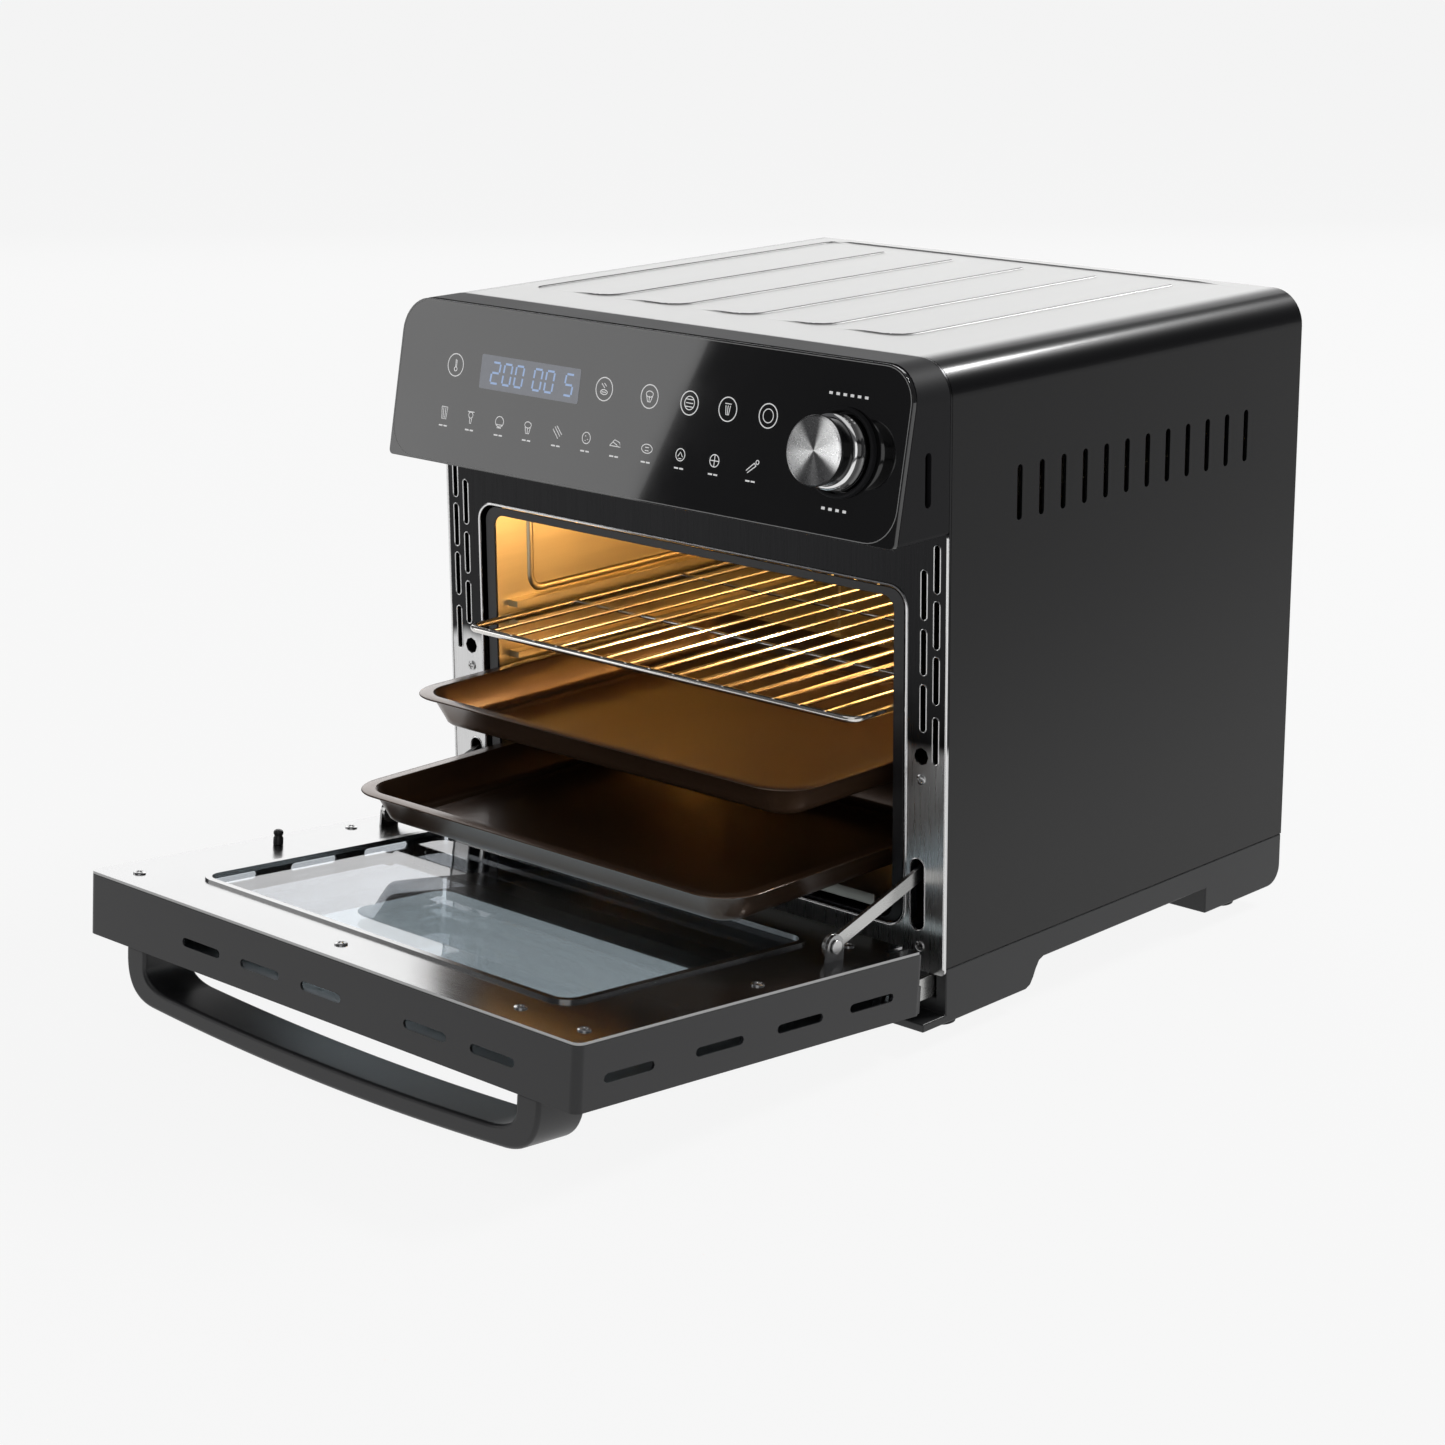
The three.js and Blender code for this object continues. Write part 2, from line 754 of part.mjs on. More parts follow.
function heaterRod(y, z) {
  const shoulder = cavityHalfWidth - heaterShoulder;
  const end = cavityHalfWidth + heaterEndReach;
  return turned(
    [
      [0, -end],
      [heaterEndRadius, -end],
      [heaterEndRadius, -shoulder],
      [heaterRadius, -shoulder],
      [heaterRadius, shoulder],
      [heaterEndRadius, shoulder],
      [heaterEndRadius, end],
      [0, end],
    ],
    "x", [0, y, z], 10,
  );
}

// Top of each ledge, and the underside of the guide above it.
const shelfLevels = [
  [rackHeight - rackRod - gap, rackHeight + rackRod + guideRoom],
  [trayHeight - traySheet - gap, trayHeight + guideRoom],
  [panHeight - traySheet - gap, panHeight + guideRoom],
];

function sideWall(side) {
  const inner = side * cavityHalfWidth;
  const outer = side * (cavityHalfWidth + cavitySheet);
  const face = side * (cavityHalfWidth - ledgeReach);
  const between = (a, b) => [Math.min(a, b), Math.max(a, b)];
  const front = coverFront + cavitySheet + gap;
  const plate = block(between(inner, outer), [front, cavityRear], [mouthBottom + cavitySheet, wallTop]);
  const ledges = shelfLevels.flatMap(([low, high]) => [
    block(between(face, outer), [ledgeStart, cavityRear - ledgeShort], [low - ledgeThickness, low]),
    block(between(face, outer), [ledgeStart, cavityRear - ledgeShort], [high, high + ledgeThickness]),
  ]);
  const start = Math.min(inner, outer) - overcut;
  const span = cavitySheet + 2 * overcut;
  const holes = heaters.map(([, y, z]) => rod(heaterEndRadius + gap, "x", [start, y, z], span));
  const lamp = side > 0
    ? [rod(lampRadius - 1, "x", [start, lampSetback, lampHeight], span, 20)]
    : [];
  const flangeNotch = block(
    between(inner, outer), [0, flangeDepth + gap], [cavityMouthTop, wallTop + overcut],
  );
  return cut(join(plate, ...ledges), flangeNotch, ...holes, ...lamp);
}

function cavityFlange() {
  const y0 = frameBack + gap;
  const edge = mouthHalfWidth - gap - cavitySheet;
  const ring = alongY(
    roundedRectangle([-edge + 2, edge - 2], [mouthBottom + 0.5, mouthTop - 2], mouthCorner - 2),
    y0, y0 + cavitySheet,
  );
  const hole = alongY(
    roundedRectangle(
      [-cavityHalfWidth, cavityHalfWidth], [mouthBottom + 2.5, cavityMouthTop], mouthCorner - 4,
    ),
    y0 - overcut, y0 + cavitySheet + overcut,
  );
  return cut(ring, hole);
}

function cavityBackWall() {
  const plate = block(
    [-cavityHalfWidth - cavitySheet, cavityHalfWidth + cavitySheet],
    [cavityBack, cavityBack + cavitySheet], [cavityFloor, wallTop],
  );
  const hole = rod(
    probeRadius + gap, "y", [probeAcross, cavityBack - overcut, probeHeight],
    cavitySheet + 2 * overcut,
  );
  return cut(plate, hole);
}

function cavityCeilingPlate() {
  const edge = cavityHalfWidth + cavitySheet + cavityLip;
  const plate = block(
    [-edge, edge], [coverFront + gap, cavityBack + cavityLip], [cavityCeiling, cavityCeiling + cavitySheet],
  );
  const hole = rod(
    shaftRadius + 2, "z", [0, fanSetback, cavityCeiling - overcut], cavitySheet + 2 * overcut,
  );
  return cut(plate, hole);
}

function cavityFloorPlate() {
  const edge = cavityHalfWidth + cavitySheet + cavityLip;
  return block(
    [-edge, edge], [flangeDepth + gap, cavityBack + cavityLip],
    [cavityFloor - cavitySheet, cavityFloor],
  );
}

function fanGrille() {
  const top = cavityCeiling - gap;
  const bottom = top - grilleDrop;
  const drum = turned(
    [
      [0, 0],
      [grilleRadius, 0],
      [grilleRadius, grilleDrop],
      [grilleRadius - cavitySheet, grilleDrop],
      [grilleRadius - cavitySheet, cavitySheet],
      [0, cavitySheet],
    ],
    "z", [0, fanSetback, bottom], 24,
  );
  const slots = Array.from({ length: grilleSlots }, (_, i) =>
    toSolid(
      new THREE.BoxGeometry(grilleRadius * 0.55, grilleSlotWidth, 4 * cavitySheet)
        .translate(grilleRadius * 0.58, 0, 0)
        .rotateZ((i / grilleSlots) * 2 * Math.PI)
        .translate(0, fanSetback, bottom),
    ),
  );
  return cut(drum, ...slots);
}

function fanMotor() {
  const bottom = cavityCeiling + cavitySheet + gap;
  return turned(
    [
      [shaftRadius + runningClearance, 0],
      [shaftRadius + runningClearance, motorHeight / 2],
      [0, motorHeight / 2],
      [0, motorHeight],
      [motorRadius, motorHeight],
      [motorRadius, motorFlangeThickness],
      [motorRadius + motorFlange, motorFlangeThickness],
      [motorRadius + motorFlange, 0],
      [shaftRadius + runningClearance, 0],
    ],
    "z", [0, fanSetback, bottom], 20,
  );
}

function fanShaft() {
  const top = cavityCeiling + cavitySheet + gap + motorHeight / 2 - 1;
  const bottom = cavityCeiling - fanDrop - fanHeight + 2;
  return rod(shaftRadius, "z", [0, fanSetback, bottom], top - bottom);
}

function fanImpeller() {
  const top = cavityCeiling - fanDrop;
  const low = top - fanHeight;
  const plate = rod(fanRadius, "z", [0, fanSetback, top - cavitySheet], cavitySheet, 24);
  const hub = rod(fanHubRadius, "z", [0, fanSetback, low], fanHeight, 16);
  const blades = Array.from({ length: fanBlades }, (_, i) =>
    toSolid(
      new THREE.BoxGeometry(fanRadius - fanBladeInset, fanBladeSheet, fanHeight)
        .rotateZ(fanBladeTurn)
        .translate((fanRadius + fanBladeInset / 3) / 2, 0, 0)
        .rotateZ((i / fanBlades) * 2 * Math.PI)
        .translate(0, fanSetback, (low + top) / 2),
    ),
  );
  const bore = rod(
    shaftRadius + gap, "z", [0, fanSetback, low - overcut], fanHeight + 2 * overcut,
  );
  return cut(join(plate, hub, ...blades), bore);
}

function lampSocket() {
  return turned(
    [
      [lampRadius, 0],
      [lampRadius, lampDepth - lampWall],
      [0, lampDepth - lampWall],
      [0, lampDepth],
      [lampRadius + lampWall, lampDepth],
      [lampRadius + lampWall, 0],
      [lampRadius, 0],
    ],
    "x", [cavityHalfWidth + cavitySheet + gap, lampSetback, lampHeight],
  );
}

function lampBulb() {
  const back = lampDepth - lampWall - gap;
  return turned(
    [
      [0, 6],
      [bulbRadius * 0.7, 7.5],
      [bulbRadius, 12],
      [bulbRadius * 0.7, 17],
      [bulbRadius * 0.55, back],
      [0, back],
    ],
    "x", [cavityHalfWidth + cavitySheet + gap, lampSetback, lampHeight], 12,
  );
}

function lampLens() {
  return turned(
    [
      [0, -lensDome - 2],
      [lampLensRadius * 0.5, -lensDome - 0.8],
      [lampLensRadius * 0.8, -lensDome / 2 - 1],
      [lampLensRadius, -2],
      [lampLensRadius, 0],
      [lampLensRadius * 0.72, 0],
      [lampLensRadius * 0.5, -lensDome / 2 - 0.6],
      [0, -lensDome + 0.5],
    ],
    "x", [cavityHalfWidth - gap, lampSetback, lampHeight], 20,
  );
}

function temperatureProbe() {
  return turned(
    [
      [0, -probeReach],
      [probeRadius, -probeReach + 2],
      [probeRadius, -2 * probeFlangeOut],
      [probeRadius + probeFlange, -2 * probeFlangeOut],
      [probeRadius + probeFlange, -probeFlangeOut],
      [probeRadius, -probeFlangeOut],
      [probeRadius, cavitySheet + probeTail],
      [0, cavitySheet + probeTail],
    ],
    "y", [probeAcross, cavityBack, probeHeight], 12,
  );
}

pieceIn(cavity, "cavity_flange", cavityFlange(), darkEnamel());
pieceIn(cavity, "cavity_left_wall", sideWall(-1), aluminisedSteel());
pieceIn(cavity, "cavity_right_wall", sideWall(1), aluminisedSteel());
pieceIn(cavity, "cavity_back_wall", cavityBackWall(), aluminisedSteel());
pieceIn(cavity, "cavity_ceiling", cavityCeilingPlate(), aluminisedSteel());
pieceIn(cavity, "cavity_floor", cavityFloorPlate(), darkEnamel());
for (const [place, y, z] of heaters) {
  pieceIn(cavity, `heater_${place}`, heaterRod(y, z), quartz());
}
pieceIn(cavity, "fan_grille", fanGrille(), brushedSteel());
pieceIn(cavity, "fan_motor", fanMotor(), zincSteel());
pieceIn(cavity, "fan_shaft", fanShaft(), polishedSteel());
pieceIn(cavity, "fan_impeller", fanImpeller(), brushedSteel());
pieceIn(cavity, "lamp_socket", lampSocket(), zincSteel());
pieceIn(cavity, "lamp_bulb", lampBulb(), warmBulb());
pieceIn(cavity, "lamp_lens", lampLens(), clearGlass());
pieceIn(cavity, "temperature_probe", temperatureProbe(), polishedSteel());

// ---------- Rack and trays ----------

// A shallow pan with sloping sides and a flat rim, its front edge at y0.
function shallowPan(halfAcross, y0, y1, rimTop) {
  const wallAcross = halfAcross - trayRim;
  const middle = (y0 + y1) / 2;
  const halfDeep = (y1 - y0) / 2;
  const wallDeep = halfDeep - trayRim;
  const tub = (inset, top, bottom) => {
    const across = wallAcross - inset;
    const deep = wallDeep - inset;
    const shape = roundedRectangle([-across, across], [-deep, deep], trayCorner - inset);
    const geometry = extruded(shape, top - bottom, curveSteps);
    const place = geometry.attributes.position;
    for (let i = 0; i < place.count; i++) {
      const share = 1 - place.getZ(i) / (top - bottom);
      place.setX(i, place.getX(i) * (1 - (share * trayTaper) / across));
      place.setY(i, place.getY(i) * (1 - (share * trayTaper) / deep));
    }
    return toSolid(geometry.translate(0, middle, bottom));
  };
  const rim = alongZ(
    roundedRectangle([-halfAcross, halfAcross], [y0, y1], trayCorner + trayRim / 2),
    rimTop - traySheet, rimTop,
  );
  const outside = tub(0, rimTop - traySheet / 2, rimTop - trayDepth);
  const inside = tub(traySheet, rimTop + overcut, rimTop - trayDepth + traySheet);
  return cut(join(rim, outside), inside);
}

function wireRack() {
  const front = rackHome - rackPull;
  const back = shelfBack - rackPull;
  const z = rackHeight;
  const sideAt = cavityHalfWidth - trayClearance - rackRod;
  const across = [front + rackRod, back - rackRod].map((y) =>
    rod(rackRod, "x", [-sideAt - rackRod, y, z], 2 * (sideAt + rackRod), 8));
  const along = [-sideAt, sideAt].map((x) => rod(rackRod, "y", [x, front, z], back - front, 8));
  const braces = [0.33, 0.67].map((share) =>
    rod(rackWire, "x", [-sideAt, front + share * (back - front), z], 2 * sideAt, 6));
  const pitch = (2 * sideAt) / (rackWireCount + 1);
  const wires = Array.from({ length: rackWireCount }, (_, i) =>
    rod(rackWire, "y", [(i + 1) * pitch - sideAt, front + rackRod, z + 1], back - front - 4, 6));
  return join(...across, ...along, ...braces, ...wires);
}

function crumbTray() {
  const back = cavityRear - crumbRoom;
  const limits = [-crumbHalfWidth, crumbHalfWidth];
  const low = [crumbBottom, crumbBottom + crumbSheet];
  const edge = [crumbBottom, crumbBottom + crumbEdge];
  return join(
    block(limits, [crumbFront, back], low),
    block(limits, [crumbFront, crumbFront + sheet], [crumbBottom, crumbBottom + crumbLip]),
    block(limits, [back - crumbSheet, back], edge),
    block([-crumbHalfWidth, crumbSheet - crumbHalfWidth], [crumbFront, back], edge),
    block([crumbHalfWidth - crumbSheet, crumbHalfWidth], [crumbFront, back], edge),
  );
}

pieceIn(cavity, "wire_rack", wireRack(), polishedSteel());
pieceIn(
  cavity, "baking_tray",
  shallowPan(rimHalfWidth, trayHome - trayPull, shelfBack - trayPull, trayHeight),
  bronzeEnamel(),
);
pieceIn(
  cavity, "roasting_pan",
  shallowPan(rimHalfWidth, panHome - panPull, shelfBack - panPull, panHeight),
  bronzeEnamel(),
);
pieceIn(cavity, "crumb_tray", crumbTray(), brushedSteel());

// ---------- Control housing ----------

function controlFascia() {
  const outline = (inset) => {
    const radius = bodyCornerRadius - inset;
    const limit = halfWidth - inset;
    return roundedRectangle(
      [-limit, limit], [fasciaBottom + inset, bodyHeight - inset], [3, 3, radius, radius],
    );
  };
  const deepest = -fasciaReachBottom - 10;
  const outside = alongY(outline(0), deepest, -gap);
  const inside = alongY(outline(fasciaWall), deepest - overcut, overcut);
  const beforeGlass = toSolid(
    new THREE.BoxGeometry(bodyWidth * 2, 200, 400)
      .translate(0, -100 + glassThickness + gap, 0)
      .rotateX(-fasciaSlope)
      .translate(0, -fasciaReachBottom, fasciaBottom),
  );
  const middle = (fasciaBottom + bodyHeight) / 2 - 14;
  const vent = alongX(
    uprightSlot(
      -fasciaVentReach, middle - fasciaVentLength / 2, middle + fasciaVentLength / 2,
      fasciaVentWidth,
    ),
    -halfWidth - overcut, halfWidth + overcut, slotSteps,
  );
  return cut(outside, inside, beforeGlass, vent);
}

function controlGlass() {
  const radius = bodyCornerRadius;
  const plate = alongY(
    roundedRectangle([-halfWidth, halfWidth], [0, glassLength], [3, 3, radius, radius]),
    0, glassThickness,
  );
  const hole = rod(
    shaftRadius + shaftHoleClearance, "y", [knobAcross, -overcut, knobUp], glassThickness + 2 * overcut,
  );
  return cut(plate, hole);
}

function displayModule() {
  const front = glassThickness + gap;
  return block(
    [displayAcross - displayWidth / 2, displayAcross + displayWidth / 2],
    [front, front + displayDepth],
    [displayUp - displayHeight / 2, displayUp + displayHeight / 2],
  );
}

function controlBoard() {
  const edge = halfWidth - fasciaWall - 6;
  return block(
    [-edge, edge], [boardDepth, boardDepth + boardThickness], [12, glassLength - 14],
  );
}

const encoderFront = glassThickness + gap + 1;
const encoderBack = boardDepth - gap;
const shaftRoom = 1; // left behind the shaft when the knob is pressed home
const knobStart = knobTravel + 0.7; // knob's back in front of the glass
const shaftOut = knobStart + 10;

// Anything turned about the knob's axis: heights count outwards from the glass.
const aboutKnob = (points, steps = 28) =>
  turned(points.map(([radius, out]) => [radius, -out]), "y", [knobAcross, 0, knobUp], steps);

function encoderBody() {
  const cube = block(
    [knobAcross - encoderHalf, knobAcross + encoderHalf], [encoderFront, encoderBack],
    [knobUp - encoderHalf, knobUp + encoderHalf],
  );
  const bore = rod(
    shaftRadius + runningClearance, "y", [knobAcross, encoderFront - overcut, knobUp],
    encoderBack - encoderFront,
  );
  return cut(cube, bore);
}

function encoderShaft() {
  const deepest = encoderBack - overcut - knobTravel - shaftRoom;
  return rod(shaftRadius, "y", [knobAcross, -shaftOut, knobUp], deepest + shaftOut);
}

function knobBezel() {
  const inner = bezelRadius - bezelWall;
  return aboutKnob([
    [inner, gap],
    [bezelRadius, gap],
    [bezelRadius, bezelHeight * 0.6],
    [bezelRadius - 0.8, bezelHeight],
    [inner, bezelHeight * 0.8],
    [inner, gap],
  ]);
}

function knobBody() {
  const bore = shaftRadius + gap;
  return aboutKnob([
    [bore, knobStart],
    [bore, shaftOut + gap],
    [0, shaftOut + gap],
    [0, knobLength],
    [knobRadius - 1, knobLength],
    [knobRadius, knobLength - 1],
    [knobRadius, knobStart],
    [bore, knobStart],
  ]);
}

function knobCap() {
  const start = knobLength + gap;
  return aboutKnob([
    [0, start + knobCapThickness - 0.6],
    [knobRadius * 0.6, start + knobCapThickness - 0.4],
    [knobRadius - 1.6, start + knobCapThickness],
    [knobRadius - 1, start],
    [0, start],
  ]);
}

pieceIn(shell, "control_fascia", controlFascia(), blackPlastic());
pieceIn(controls, "control_glass", controlGlass(), glossBlack());
pieceIn(controls, "display_module", displayModule(), displayBlue());
pieceIn(controls, "control_board", controlBoard(), greenBoard());
pieceIn(controls, "encoder_body", encoderBody(), zincSteel());
pieceIn(controls, "encoder_shaft", encoderShaft(), polishedSteel());
pieceIn(controls, "knob_bezel", knobBezel(), polishedSteel());
pieceIn(controls, "knob_body", knobBody(), glossBlack());
pieceIn(controls, "knob_cap", knobCap(), brushedSteel());

// ---------- Door ----------

const doorWall = (inset) => [doorSkin * inset - halfWidth, halfWidth - doorSkin * inset];
const panelBack = doorInner - doorSkin; // where the inner panel starts

function heelWedge() {
  return alongX(
    polygon([
      [doorInner - heelChamfer, -doorHeel - overcut],
      [doorInner + overcut, -doorHeel - overcut],
      [doorInner + overcut, -doorHeel + heelChamfer + overcut],
      [doorInner - heelChamfer, -doorHeel],
    ]),
    -halfWidth - overcut, halfWidth + overcut,
  );
}

function hingeSlits() {
  return sides.map(([, side]) =>
    block(
      [side * hingeAcross - hingeSlit / 2, side * hingeAcross + hingeSlit / 2],
      [doorOuter - overcut, doorInner + overcut],
      [-doorHeel - overcut, hingePlateRadius + 1.5],
    ),
  );
}

function doorWindow(inset, y0, y1) {
  const half = windowHalfWidth + inset;
  return alongY(
    roundedRectangle(
      [-half, half], [windowBottom - inset, windowTop + inset], windowCorner + inset,
    ),
    y0, y1,
  );
}

function doorCasing() {
  const outside = alongY(
    roundedRectangle(doorWall(0), [-doorHeel, doorTop], doorCorner), doorOuter, panelBack - gap,
  );
  const inside = alongY(
    roundedRectangle(
      doorWall(1), [doorSkin - doorHeel, doorTop - doorSkin], doorCorner - doorSkin,
    ),
    doorOuter + doorSkin, doorInner,
  );
  const ventLine = doorOuter + ventHeightInDoor;
  const endSlots = alongZ(
    endVents.map((x) => lyingSlot(x, ventLine, endVentLength, ventWidth)),
    doorTop - doorSkin - overcut, doorTop + overcut, slotSteps,
  );
  const sideSlots = alongX(
    sideVents.map((z) =>
      uprightSlot(ventLine, z - sideVentLength / 2, z + sideVentLength / 2, ventWidth)),
    -halfWidth - overcut, halfWidth + overcut, slotSteps,
  );
  const bosses = sides.flatMap(([, side]) => {
    const near = side * (hingeAcross - hingeSlit / 2);
    const inward = near - side * 6;
    const far = side * (hingeAcross + hingeSlit / 2);
    const wall = side * (halfWidth - doorSkin / 2);
    return [[inward, near], [far, wall]].map(([a, b]) =>
      block(
        [Math.min(a, b), Math.max(a, b)],
        [doorOuter + doorSkin / 2, hingeBossRadius], [-doorHeel + doorSkin / 2, hingeBossRadius],
      ),
    );
  });
  const bores = sides.map(([, side]) =>
    rod(
      hingePinRadius + runningClearance, "x",
      [side * hingeAcross - hingePinLength / 2 - gap, 0, 0], hingePinLength + 2 * gap,
    ),
  );
  const shellOnly = cut(outside, inside, doorWindow(0, doorOuter - overcut, 0));
  return cut(
    join(shellOnly, ...bosses), endSlots, sideSlots, ...hingeSlits(), heelWedge(), ...bores,
  );
}

function doorInnerPanel() {
  const plate = alongY(
    roundedRectangle(
      doorWall(0), [heelChamfer - doorHeel, doorTop], [0, 0, doorCorner, doorCorner],
    ),
    panelBack, doorInner,
  );
  const bead = doorWindow(beadWidth, doorInner - doorSkin / 2, doorInner + beadHeight);
  const hole = doorWindow(0, panelBack - overcut, doorInner + beadHeight + overcut);
  const tabs = sides.map(([, side]) => {
    const near = side * (armAcross + armThickness / 2 + gap);
    const far = near + side * armTab;
    const profile = new THREE.Shape();
    profile.moveTo(doorInner - doorSkin / 2, armPivotUp - armLugRadius);
    profile.lineTo(armPivotOut, armPivotUp - armLugRadius);
    profile.absarc(
      armPivotOut, armPivotUp, armLugRadius - 0.5, -Math.PI / 2, Math.PI / 2, false,
    );
    profile.lineTo(doorInner - doorSkin / 2, armPivotUp + armLugRadius);
    return alongX(profile, Math.min(near, far), Math.max(near, far));
  });
  const pivots = sides.map(([, side]) =>
    rod(rivetRadius + gap, "x", [side * armAcross - 8, armPivotOut, armPivotUp], 16));
  const screwHole = rod(
    pegRadius - 0.5, "y", [-pegAcross, panelBack - overcut, pegUp], doorSkin + 2 * overcut,
  );
  return cut(join(plate, bead, ...tabs), hole, ...hingeSlits(), ...pivots, screwHole);
}

function doorPane(start) {
  const half = windowHalfWidth + paneOverlap;
  return alongY(
    roundedRectangle([-half, half], [windowBottom - paneOverlap, windowTop + paneOverlap], 4),
    start, start + paneThickness,
  );
}

function doorHandle() {
  const face = doorOuter - gap;
  const outer = face - handleReach;
  const legInner = handleHalfLength - handleLeg;
  const corner = handleCorner;
  const innerCorner = corner - handleBar / 2;
  const shape = new THREE.Shape();
  shape.moveTo(-handleHalfLength, face);
  shape.lineTo(-handleHalfLength, outer + handleBow + corner);
  shape.quadraticCurveTo(
    -handleHalfLength, outer + handleBow, -handleHalfLength + corner, outer + handleBow * 0.8,
  );
  shape.quadraticCurveTo(0, outer - handleBow * 0.8, handleHalfLength - corner,
    outer + handleBow * 0.8);
  shape.quadraticCurveTo(
    handleHalfLength, outer + handleBow, handleHalfLength, outer + handleBow + corner,
  );
  shape.lineTo(handleHalfLength, face);
  shape.lineTo(legInner, face);
  shape.lineTo(legInner, outer + handleBow + handleBar + innerCorner / 2);
  shape.quadraticCurveTo(
    legInner, outer + handleBow + handleBar, legInner - innerCorner,
    outer + handleBow * 0.7 + handleBar,
  );
  shape.quadraticCurveTo(0, outer - handleBow * 0.5 + handleBar, innerCorner - legInner,
    outer + handleBow * 0.7 + handleBar);
  shape.quadraticCurveTo(
    -legInner, outer + handleBow + handleBar, -legInner,
    outer + handleBow + handleBar + innerCorner / 2,
  );
  shape.lineTo(-legInner, face);
  const top = doorTop - handleSetback;
  return alongZ(shape, top - handleWidth, top);
}

function doorPeg() {
  return turned(
    [
      [0, -doorSkin - 2],
      [pegRadius - 1, -doorSkin - 2],
      [pegRadius - 1, gap],
      [pegRadius, gap],
      [pegRadius, pegLength / 2],
      [pegTip, pegLength - 1],
      [pegTip - 1, pegLength],
      [0, pegLength],
    ],
    "y", [-pegAcross, doorInner, pegUp], 12,
  );
}

function armRivet(side) {
  const start = -armThickness / 2 - gap - rivetHead;
  const end = armThickness / 2 + gap + armTab + gap;
  return turned(
    [
      [0, start],
      [rivetHeadRadius, start],
      [rivetHeadRadius, start + rivetHead],
      [rivetRadius, start + rivetHead],
      [rivetRadius, end],
      [rivetHeadRadius, end],
      [rivetHeadRadius, end + rivetHead],
      [0, end + rivetHead],
    ].map(([radius, at]) => [radius, side * at]),
    "x", [side * armAcross, armPivotOut, armPivotUp], 12,
  );
}

function stayArm() {
  const shape = new THREE.Shape();
  const slope = Math.asin(armHalfHeight / armLugRadius);
  shape.absarc(0, 0, armLugRadius, slope, 2 * Math.PI - slope, false);
  shape.lineTo(armLength, -armHalfHeight);
  shape.absarc(armLength, 0, armHalfHeight, -Math.PI / 2, Math.PI / 2, false);
  const blank = alongX(shape, -armThickness / 2, armThickness / 2);
  const pivotHole = rod(rivetRadius + gap, "x", [-armThickness, 0, 0], 2 * armThickness);
  const springHole = rod(1.5, "x", [-armThickness, armLength, 0], 2 * armThickness, 10);
  return cut(blank, pivotHole, springHole);
}

pieceIn(door, "door_casing", doorCasing(), blackPaint());
pieceIn(door, "door_outer_glass", doorPane(doorOuter + doorSkin + gap), clearGlass());
pieceIn(door, "door_inner_glass", doorPane(panelBack - gap - paneThickness), clearGlass());
pieceIn(door, "door_inner_panel", doorInnerPanel(), polishedSteel());
pieceIn(door, "door_handle", doorHandle(), blackPlastic());
pieceIn(door, "door_peg", doorPeg(), blackPlastic());
for (const [sideName, side] of sides) {
  pieceIn(door, `arm_rivet_${sideName}`, armRivet(side), polishedSteel());
  const armPivot = new THREE.Group();
  armPivot.position.set(side * armAcross, armPivotOut, armPivotUp);
  armPivot.rotation.x = THREE.MathUtils.degToRad(armOpenAngle) - doorTurn;
  pieceIn(armPivot, `stay_arm_${sideName}`, stayArm(), zincSteel());
  door.add(armPivot);
}

// The frame's origin lies on the ground under the middle of the whole outline.
const frontmost =
  -hingeReach - doorTop * Math.sin(doorTurn) + doorOuter * Math.cos(doorTurn);
oven.position.y = -(frontmost + bodyDepth + hoodReach) / 2;

export default oven;
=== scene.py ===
import math

import bmesh
import bpy
import numpy as np
from mathutils import Matrix, Vector


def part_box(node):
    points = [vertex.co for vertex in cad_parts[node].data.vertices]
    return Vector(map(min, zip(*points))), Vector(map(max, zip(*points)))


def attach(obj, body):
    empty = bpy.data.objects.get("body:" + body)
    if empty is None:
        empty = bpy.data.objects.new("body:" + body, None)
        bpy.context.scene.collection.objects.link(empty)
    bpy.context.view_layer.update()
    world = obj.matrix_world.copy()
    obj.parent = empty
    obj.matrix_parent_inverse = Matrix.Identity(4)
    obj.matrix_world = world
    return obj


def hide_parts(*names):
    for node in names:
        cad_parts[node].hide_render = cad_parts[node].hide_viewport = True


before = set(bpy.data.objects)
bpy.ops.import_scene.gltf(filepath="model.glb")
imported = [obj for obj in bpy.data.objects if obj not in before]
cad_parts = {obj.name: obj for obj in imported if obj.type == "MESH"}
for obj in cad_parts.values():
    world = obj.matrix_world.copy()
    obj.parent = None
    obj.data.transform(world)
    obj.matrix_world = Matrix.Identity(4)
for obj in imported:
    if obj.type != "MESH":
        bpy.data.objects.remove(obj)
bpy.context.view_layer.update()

mm = 0.001


# ---------- Camera ----------
# A long lens at table height, looking down at the open door from the front right.

lens_length = 80.2
sensor_width = 36.0
look_azimuth = math.radians(43.44)
look_elevation = math.radians(16.01)
look_roll = math.radians(-0.49)
look_distance = 1.5049
look_target = Vector((0.26894, -0.28135, 0.25364))

towards_eye = Vector((
    math.sin(look_azimuth) * math.cos(look_elevation),
    -math.cos(look_azimuth) * math.cos(look_elevation),
    math.sin(look_elevation),
))


def placed(name, data):
    """An object that holds a mesh, lamp or camera, linked into the scene."""
    thing = bpy.data.objects.new(name, data)
    bpy.context.collection.objects.link(thing)
    return thing


camera = placed("camera", bpy.data.cameras.new("camera"))
camera.data.lens = lens_length
camera.data.sensor_width = sensor_width
upright = towards_eye.to_track_quat("Z", "Y").to_matrix().to_4x4()
camera.matrix_world = (
    Matrix.Translation(look_target + look_distance * towards_eye)
    @ upright @ Matrix.Rotation(look_roll, 4, "Z")
)
bpy.context.scene.camera = camera
bpy.context.scene.view_settings.view_transform = "Standard"


